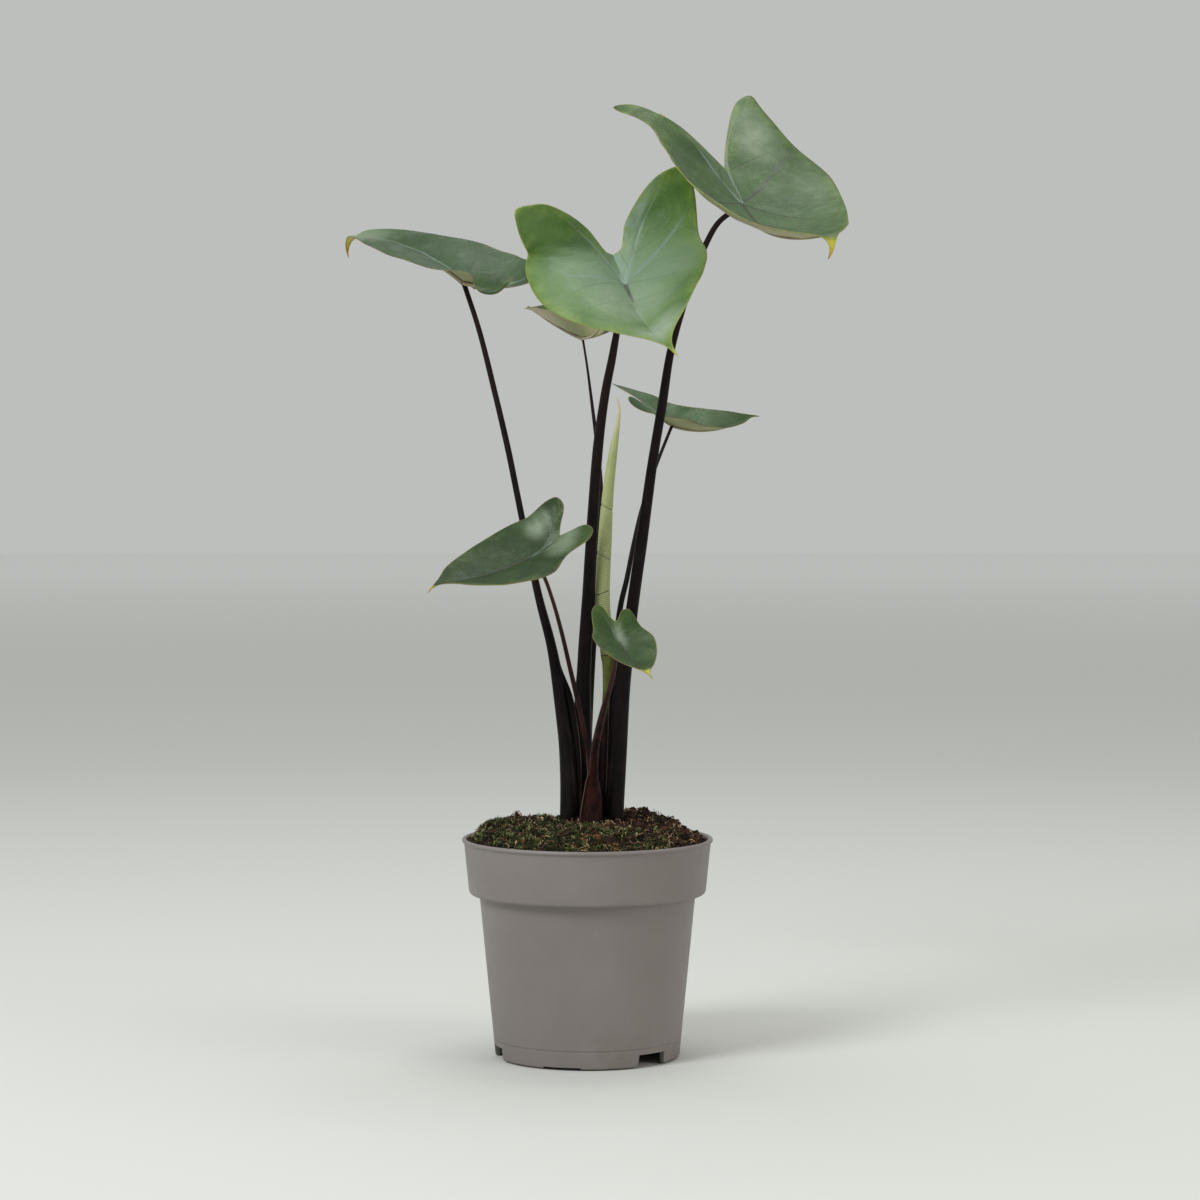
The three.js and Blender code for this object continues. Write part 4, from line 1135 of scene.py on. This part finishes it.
def rib_routes(leaf, size):
    """The midrib and the two lobe ribs, as flat points and radii."""
    t = np.linspace(0, 0.96, 34)
    routes = [(np.column_stack([t * leaf["length"], 0 * t]), size * (1.15 - 1.0 * t))]
    t = np.linspace(0, 0.74, 26)
    for side, half in ((1, leaf["left"]), (-1, leaf["right"])):
        a = radians(180 - half["splay"])
        reach = t * half["lobe"]
        bow = costa_bow(half, reach)
        x, y = reach * cos(a) + bow * sin(a), reach * sin(a) - bow * cos(a)
        routes.append((np.column_stack([x, y * side]), size * (0.95 - 0.85 * t)))
    return routes


# -------- stalks

STALK_FOOT_Z = 96.5
SOIL_LEVEL = 110
OLIVE_FROM, OLIVE_TO = 160, 178
STALK_SIDES = 24
STALK_STEP = 2.5
# Each stalk's points, with its half width, and its half depth where that differs
STALKS = {
    "high_left": [
        (-8.4, 1, 116.5, 4.8), (-8.8, 2.5, 134.5, 4.4), (-10.3, 4, 151.5, 3.8), (-13.6, 7, 174.5, 3.1),
        (-17.3, 10, 195.5, 2.4), (-23.3, 14, 218.5, 2), (-31.6, 22, 256.5, 1.6), (-38.4, 28, 289.5, 1.5),
        (-45.3, 34, 318.5, 1.4), (-52.7, 38, 347.5, 1.3),
    ],
    "high_centre": [
        (-1, 8, 114.5, 3.8), (-1.6, 8.5, 141.5, 4), (-1.9, 6, 163.5, 3.7), (-1.4, 0, 189.5, 3.4),
        (0.5, -8, 220.5, 3.1), (2.5, -19, 256.5, 2.7), (5.2, -29, 292.5, 2.4), (8.8, -37, 318.5, 2.1),
        (11.6, -42, 332.5, 1.9), (13.9, -45.5, 345.5, 1.6),
    ],
    "high_right": [
        (12.7, 0, 116.5, 4.8), (13.9, -1, 134.5, 4.5), (15.1, -3, 153.5, 4.2), (16.5, -6, 175.5, 3.9),
        (21.2, -12, 214.5, 3), (26, -18, 249.5, 2.8), (31.2, -24, 287.5, 2.3), (35, -28, 310.5, 2.2),
        (39.1, -32, 336.5, 1.9), (44.2, -35, 355.5, 1.7), (49.2, -38, 370.5, 1.5), (55.1, -41, 385.5, 1.4),
        (61, -45, 395.5, 1.3),
    ],
    "back": [
        (-1, 14.5, 115.5, 2.2), (1.2, 20, 168.5, 1.7), (4.1, 30, 216.5, 1.5), (6, 38, 250.5, 1.3),
        (6.3, 43, 271.5, 1.2), (4.3, 49, 293.5, 1), (2.2, 54, 310.5, 0.8), (-0.4, 60, 330.5, 0.6),
    ],
    "mid_right": [
        (9.5, 10, 115.5, 2.2), (12, 13, 169.5, 1.7), (15.6, 18, 212.5, 1.4), (19, 20, 227.5, 1.3),
        (22.1, 22, 243.5, 1.1), (25.8, 25, 259.5, 1), (30.2, 28, 273.5, 0.9), (35, 31, 286.5, 0.8),
    ],
    "mid_left": [
        (2.5, 0.5, 116.5, 1.9), (1.9, -1.5, 132.5, 1.6), (0.5, -4, 145.5, 1.3), (-5.2, -12, 173.5, 1.2),
        (-7.9, -16, 185.5, 1.1), (-12.4, -24, 205.5, 1), (-16.5, -30, 220.5, 0.9), (-20.5, -34, 231.5, 0.9),
    ],
    "low": [
        (1.5, -7.5, 114.5, 5.7, 4.6), (2.4, -10.5, 126.5, 4.4, 3.4), (2.7, -15, 136.5, 2.6, 2.4),
        (3.4, -21, 146.5, 2.1), (4.6, -26, 154.5, 1.9), (7.9, -34, 169.5, 1.5), (10.9, -41, 180.5, 1.2),
    ],
    "rolled": [
        (6.7, 5, 116.5, 2.2), (7.9, 3, 146.5, 1.9), (8.8, 0, 170.5, 1.7), (9.2, -1, 177.5, 1.9),
        (9.9, -2.7, 188.5, 3), (9.6, -3, 192.2, 3.4),
    ],
}
# Sheath margins: from and to which height, how far they stand out, and the direction that they face
# at their foot and top, in degrees from +X towards the back
SHEATHS = {
    "high_left": [(106, 188, 3.0, -12, 0), (106, 176, 1.2, 70, 60)],
    "high_centre": [(106, 190, 0.8, 200, 170), (106, 186, 0.8, 20, 40)],
    "high_right": [(106, 182, 1.0, 150, 130), (106, 178, 0.8, 80, 60)],
    "low": [(106, 140, 1.2, 205, 215)],
    "mid_left": [(106, 150, 0.5, 200, 220)],
    "rolled": [(106, 168, 0.6, 160, 190)],
}
# A sheath's section: how far out in shares of its margin and in mm, and how thick
SHEATH_SECTION = ((0, -0.7, 1.6), (0.35, 0, 1.1), (0.8, 0, 0.6), (1, 0, 0.26))
SHEATH_ORDER = [0, 2, 4, 6, 7, 5, 3, 1]


def stalk_samples(route):
    """Centre, tangent, half width and half depth every few millimetres."""
    key = np.array([p[:3] for p in route], float)
    total = np.linalg.norm(np.diff(key, axis=0), axis=1).sum()
    samples = np.linspace(0, 1, int(ceil(total / STALK_STEP)) + 1)
    wide = spline_values([p[3] for p in route], samples, total)
    deep = spline_values([p[-1] for p in route], samples, total)
    return *spline(key, samples), wide, deep


def make_stalk(name, material, slot, leaf=None):
    route = [(*STALKS[name][0][:2], STALK_FOOT_Z, *STALKS[name][0][3:])] + STALKS[name]
    if leaf:
        # The stalk meets the blade from below
        last = route[-1][3]
        below = blade_turn(leaf) @ np.array([0, 0, -1.0])
        route.append((*(leaf["at"] + below * (0.5 * last)), last * 0.95))
    centres, tangents, wide, deep = stalk_samples(route)
    z = centres[:, 2]
    high = (z - SOIL_LEVEL) / (z[-1] - SOIL_LEVEL)
    olive = smoothstep(z, OLIVE_FROM, OLIVE_TO) if name == "rolled" else 0 * high
    width, depth = across(tangents)
    points = []
    for i in range(len(z)):
        for c, s in circle(1, STALK_SIDES):
            uneven = 1 + 0.035 * bumps(c, s, 1.3, z[i] * 0.05 + len(name))
            points.append(centres[i] + uneven * (width[i] * wide[i] * c + depth[i] * deep[i] * s) * 0.985)
    made = Build("high", "pale", "olive")
    fields = {"high": np.repeat(high, STALK_SIDES), "olive": np.repeat(olive, STALK_SIDES)}
    made.add(points, tube_faces(len(z), STALK_SIDES), **fields)
    for sheath in SHEATHS.get(name, ()):
        add_sheath(made, sheath, centres, width, depth, wide, deep)
    made.piece("petiole_" + name, material, slot, ["stalk_" + name])


def add_sheath(made, sheath, centres, width, depth, wide, deep):
    """A thin flange that stands off the stalk's lower part, with a paler margin."""
    low, top, proud, face_low, face_high = sheath
    rows = [i for i in range(len(centres)) if low < centres[i, 2] < top]
    points, pale = [], []
    for n, i in enumerate(rows):
        s = n / (len(rows) - 1)
        stand = proud * float((0.12 + 0.88 * smoothstep(s, 0, 0.72)) * (1 - smoothstep(s, 0.78, 1.0)))
        face = radians(face_low + (face_high - face_low) * s)
        out = width[i] * cos(face) + depth[i] * sin(face)
        aside = -width[i] * sin(face) + depth[i] * cos(face)
        radius = 1 / hypot(cos(face) / wide[i], sin(face) / deep[i])
        section = []
        for share, more, thick in SHEATH_SECTION:
            far = centres[i] + out * (radius - 0.05 + share * stand + more)
            section += [far - aside * thick / 2, far + aside * thick / 2]
        points += [section[k] for k in SHEATH_ORDER]
        pale += [0.8 * (1 - s) ** 0.3 if k > 5 else 0.0 for k in SHEATH_ORDER]
    made.add(points, flipped(tube_faces(len(rows), len(SHEATH_ORDER))), pale=pale, high=0.1)


# -------- rolled leaf

# Its points, with its radius
ROLLED_BLADE = [
    (9.6, -3, 192.5, 3.5), (7.4, -5, 218.5, 3.7), (8.4, -7, 246.5, 3.5), (10, -8, 270.5, 2.8),
    (12.4, -8, 289.5, 2.1), (14.7, -8, 304.5, 1), (15, -8, 310.5, 0.6), (13.9, -8, 314.5, 0.3),
]
ROLLED_FOOT, ROLLED_HIGH = 192.5, 122
ROLLED_ROWS, ROLLED_SIDES = 250, 40
# Creases across the roll: height, and how far it climbs per millimetre to the right
CREASES = ((262.5, -0.5), (239.2, -0.5), (222.0, 0.35))


def make_rolled_blade(material):
    """A spindle whose outer layer ends in an edge that winds up round its back."""
    samples = np.linspace(0, 1, ROLLED_ROWS)
    centres, tangents = spline([p[:3] for p in ROLLED_BLADE], samples)
    radius = np.maximum(spline_values([p[3] for p in ROLLED_BLADE], samples, 120), 0.25)
    width, depth = across(tangents)
    # Each ring goes once round, and its last point steps back under the outer edge
    ring = [(share, 1.0 - 0.1 * share) for share in np.linspace(0, 1, ROLLED_SIDES + 1)] + [(0.0, 0.94)]
    points, turn, high, crease = [], [], [], []
    for i, s in enumerate(samples):
        for share, thick in ring:
            a = radians(20 + 130 * s) + 2 * pi * share
            out = width[i] * cos(a) + depth[i] * sin(a)
            p = centres[i] + radius[i] * thick * out
            step = min((p[2] - z - slope * (p[0] - centres[i][0]) for z, slope in CREASES), key=abs)
            dent = 0.22 * np.exp(-((step / 0.7) ** 2)) * min(radius[i] / 3, 1)
            points.append(p - dent * out)
            turn.append(share)
            high.append((centres[i, 2] - ROLLED_FOOT) / ROLLED_HIGH)
            crease.append(step)
    made = Build("turn", "high", "crease")
    made.add(points, tube_faces(ROLLED_ROWS, len(ring)), turn=turn, high=high, crease=crease)
    made.piece("rolled_leaf", material, "rolled_blade", ["blade_rolled"])


# -------- stage

# In metres
FLOOR_HALF, FLOOR_BELOW = 6.0, 0.0005
# Each light's name, place, aim, size, watts and colour
LIGHTS = (
    ("key", (-1.1, -1.2, 1.5), (0, 0, 0.25), 0.8, 26, (0.97, 0.99, 1.0)),
    ("fill", (1.5, -0.9, 0.7), (0, 0, 0.2), 1.0, 7, (1.0, 0.9, 0.84)),
    ("top", (0.1, 0.3, 1.9), (0, 0, 0.3), 1.2, 12, (1, 1, 1)),
)


def make_floor():
    mesh = bpy.data.meshes.new("floor")
    corners = [(x * FLOOR_HALF, y * FLOOR_HALF, 0) for x, y in ((-1, -1), (1, -1), (1, 1), (-1, 1))]
    mesh.from_pydata(corners, [], [(0, 1, 2, 3)])
    mesh.materials.append(floor_material())
    floor = bpy.data.objects.new("floor", mesh)
    floor.location.z = -FLOOR_BELOW
    SCENE.collection.objects.link(floor)


def make_lights():
    for name, at, aim, size, watts, colour in LIGHTS:
        data = bpy.data.lights.new(name, "AREA")
        data.shape = "DISK"
        data.size, data.energy, data.color = size, watts, colour
        light = bpy.data.objects.new(name, data)
        light.location = at
        light.rotation_euler = (Vector(aim) - Vector(at)).to_track_quat("-Z", "Y").to_euler()
        SCENE.collection.objects.link(light)
    world = bpy.data.worlds.new("studio")
    SCENE.world = world
    world.use_nodes = True
    background = world.node_tree.nodes["Background"]
    background.inputs["Color"].default_value = (0.82, 0.84, 0.82, 1)
    background.inputs["Strength"].default_value = 0.62


# -------- all pieces

make_camera()
SCENE.view_settings.view_transform = "Standard"
make_pot(pot_material())
make_soil(soil_material())
crumbs = crumb_material()
make_crumbs(crumbs)
make_straws(crumbs)
make_moss(moss_material())

BLADE = blade_material()
DARK = stalk_material("dark_petiole", (9, 5, 6), (24, 15, 14), (38, 25, 22))
RED = stalk_material("red_petiole", (24, 11, 12), (54, 28, 25), (70, 44, 36))
for leaf_name, leaf_data in LEAVES.items():
    make_blade(leaf_name, leaf_data, BLADE)
    red = leaf_name in ("low", "mid_left")
    make_stalk(leaf_name, RED if red else DARK, "red_stalk" if red else "dark_stalk", leaf_data)
make_stalk("rolled", RED, "red_stalk")
make_rolled_blade(rolled_material())
make_floor()
make_lights()
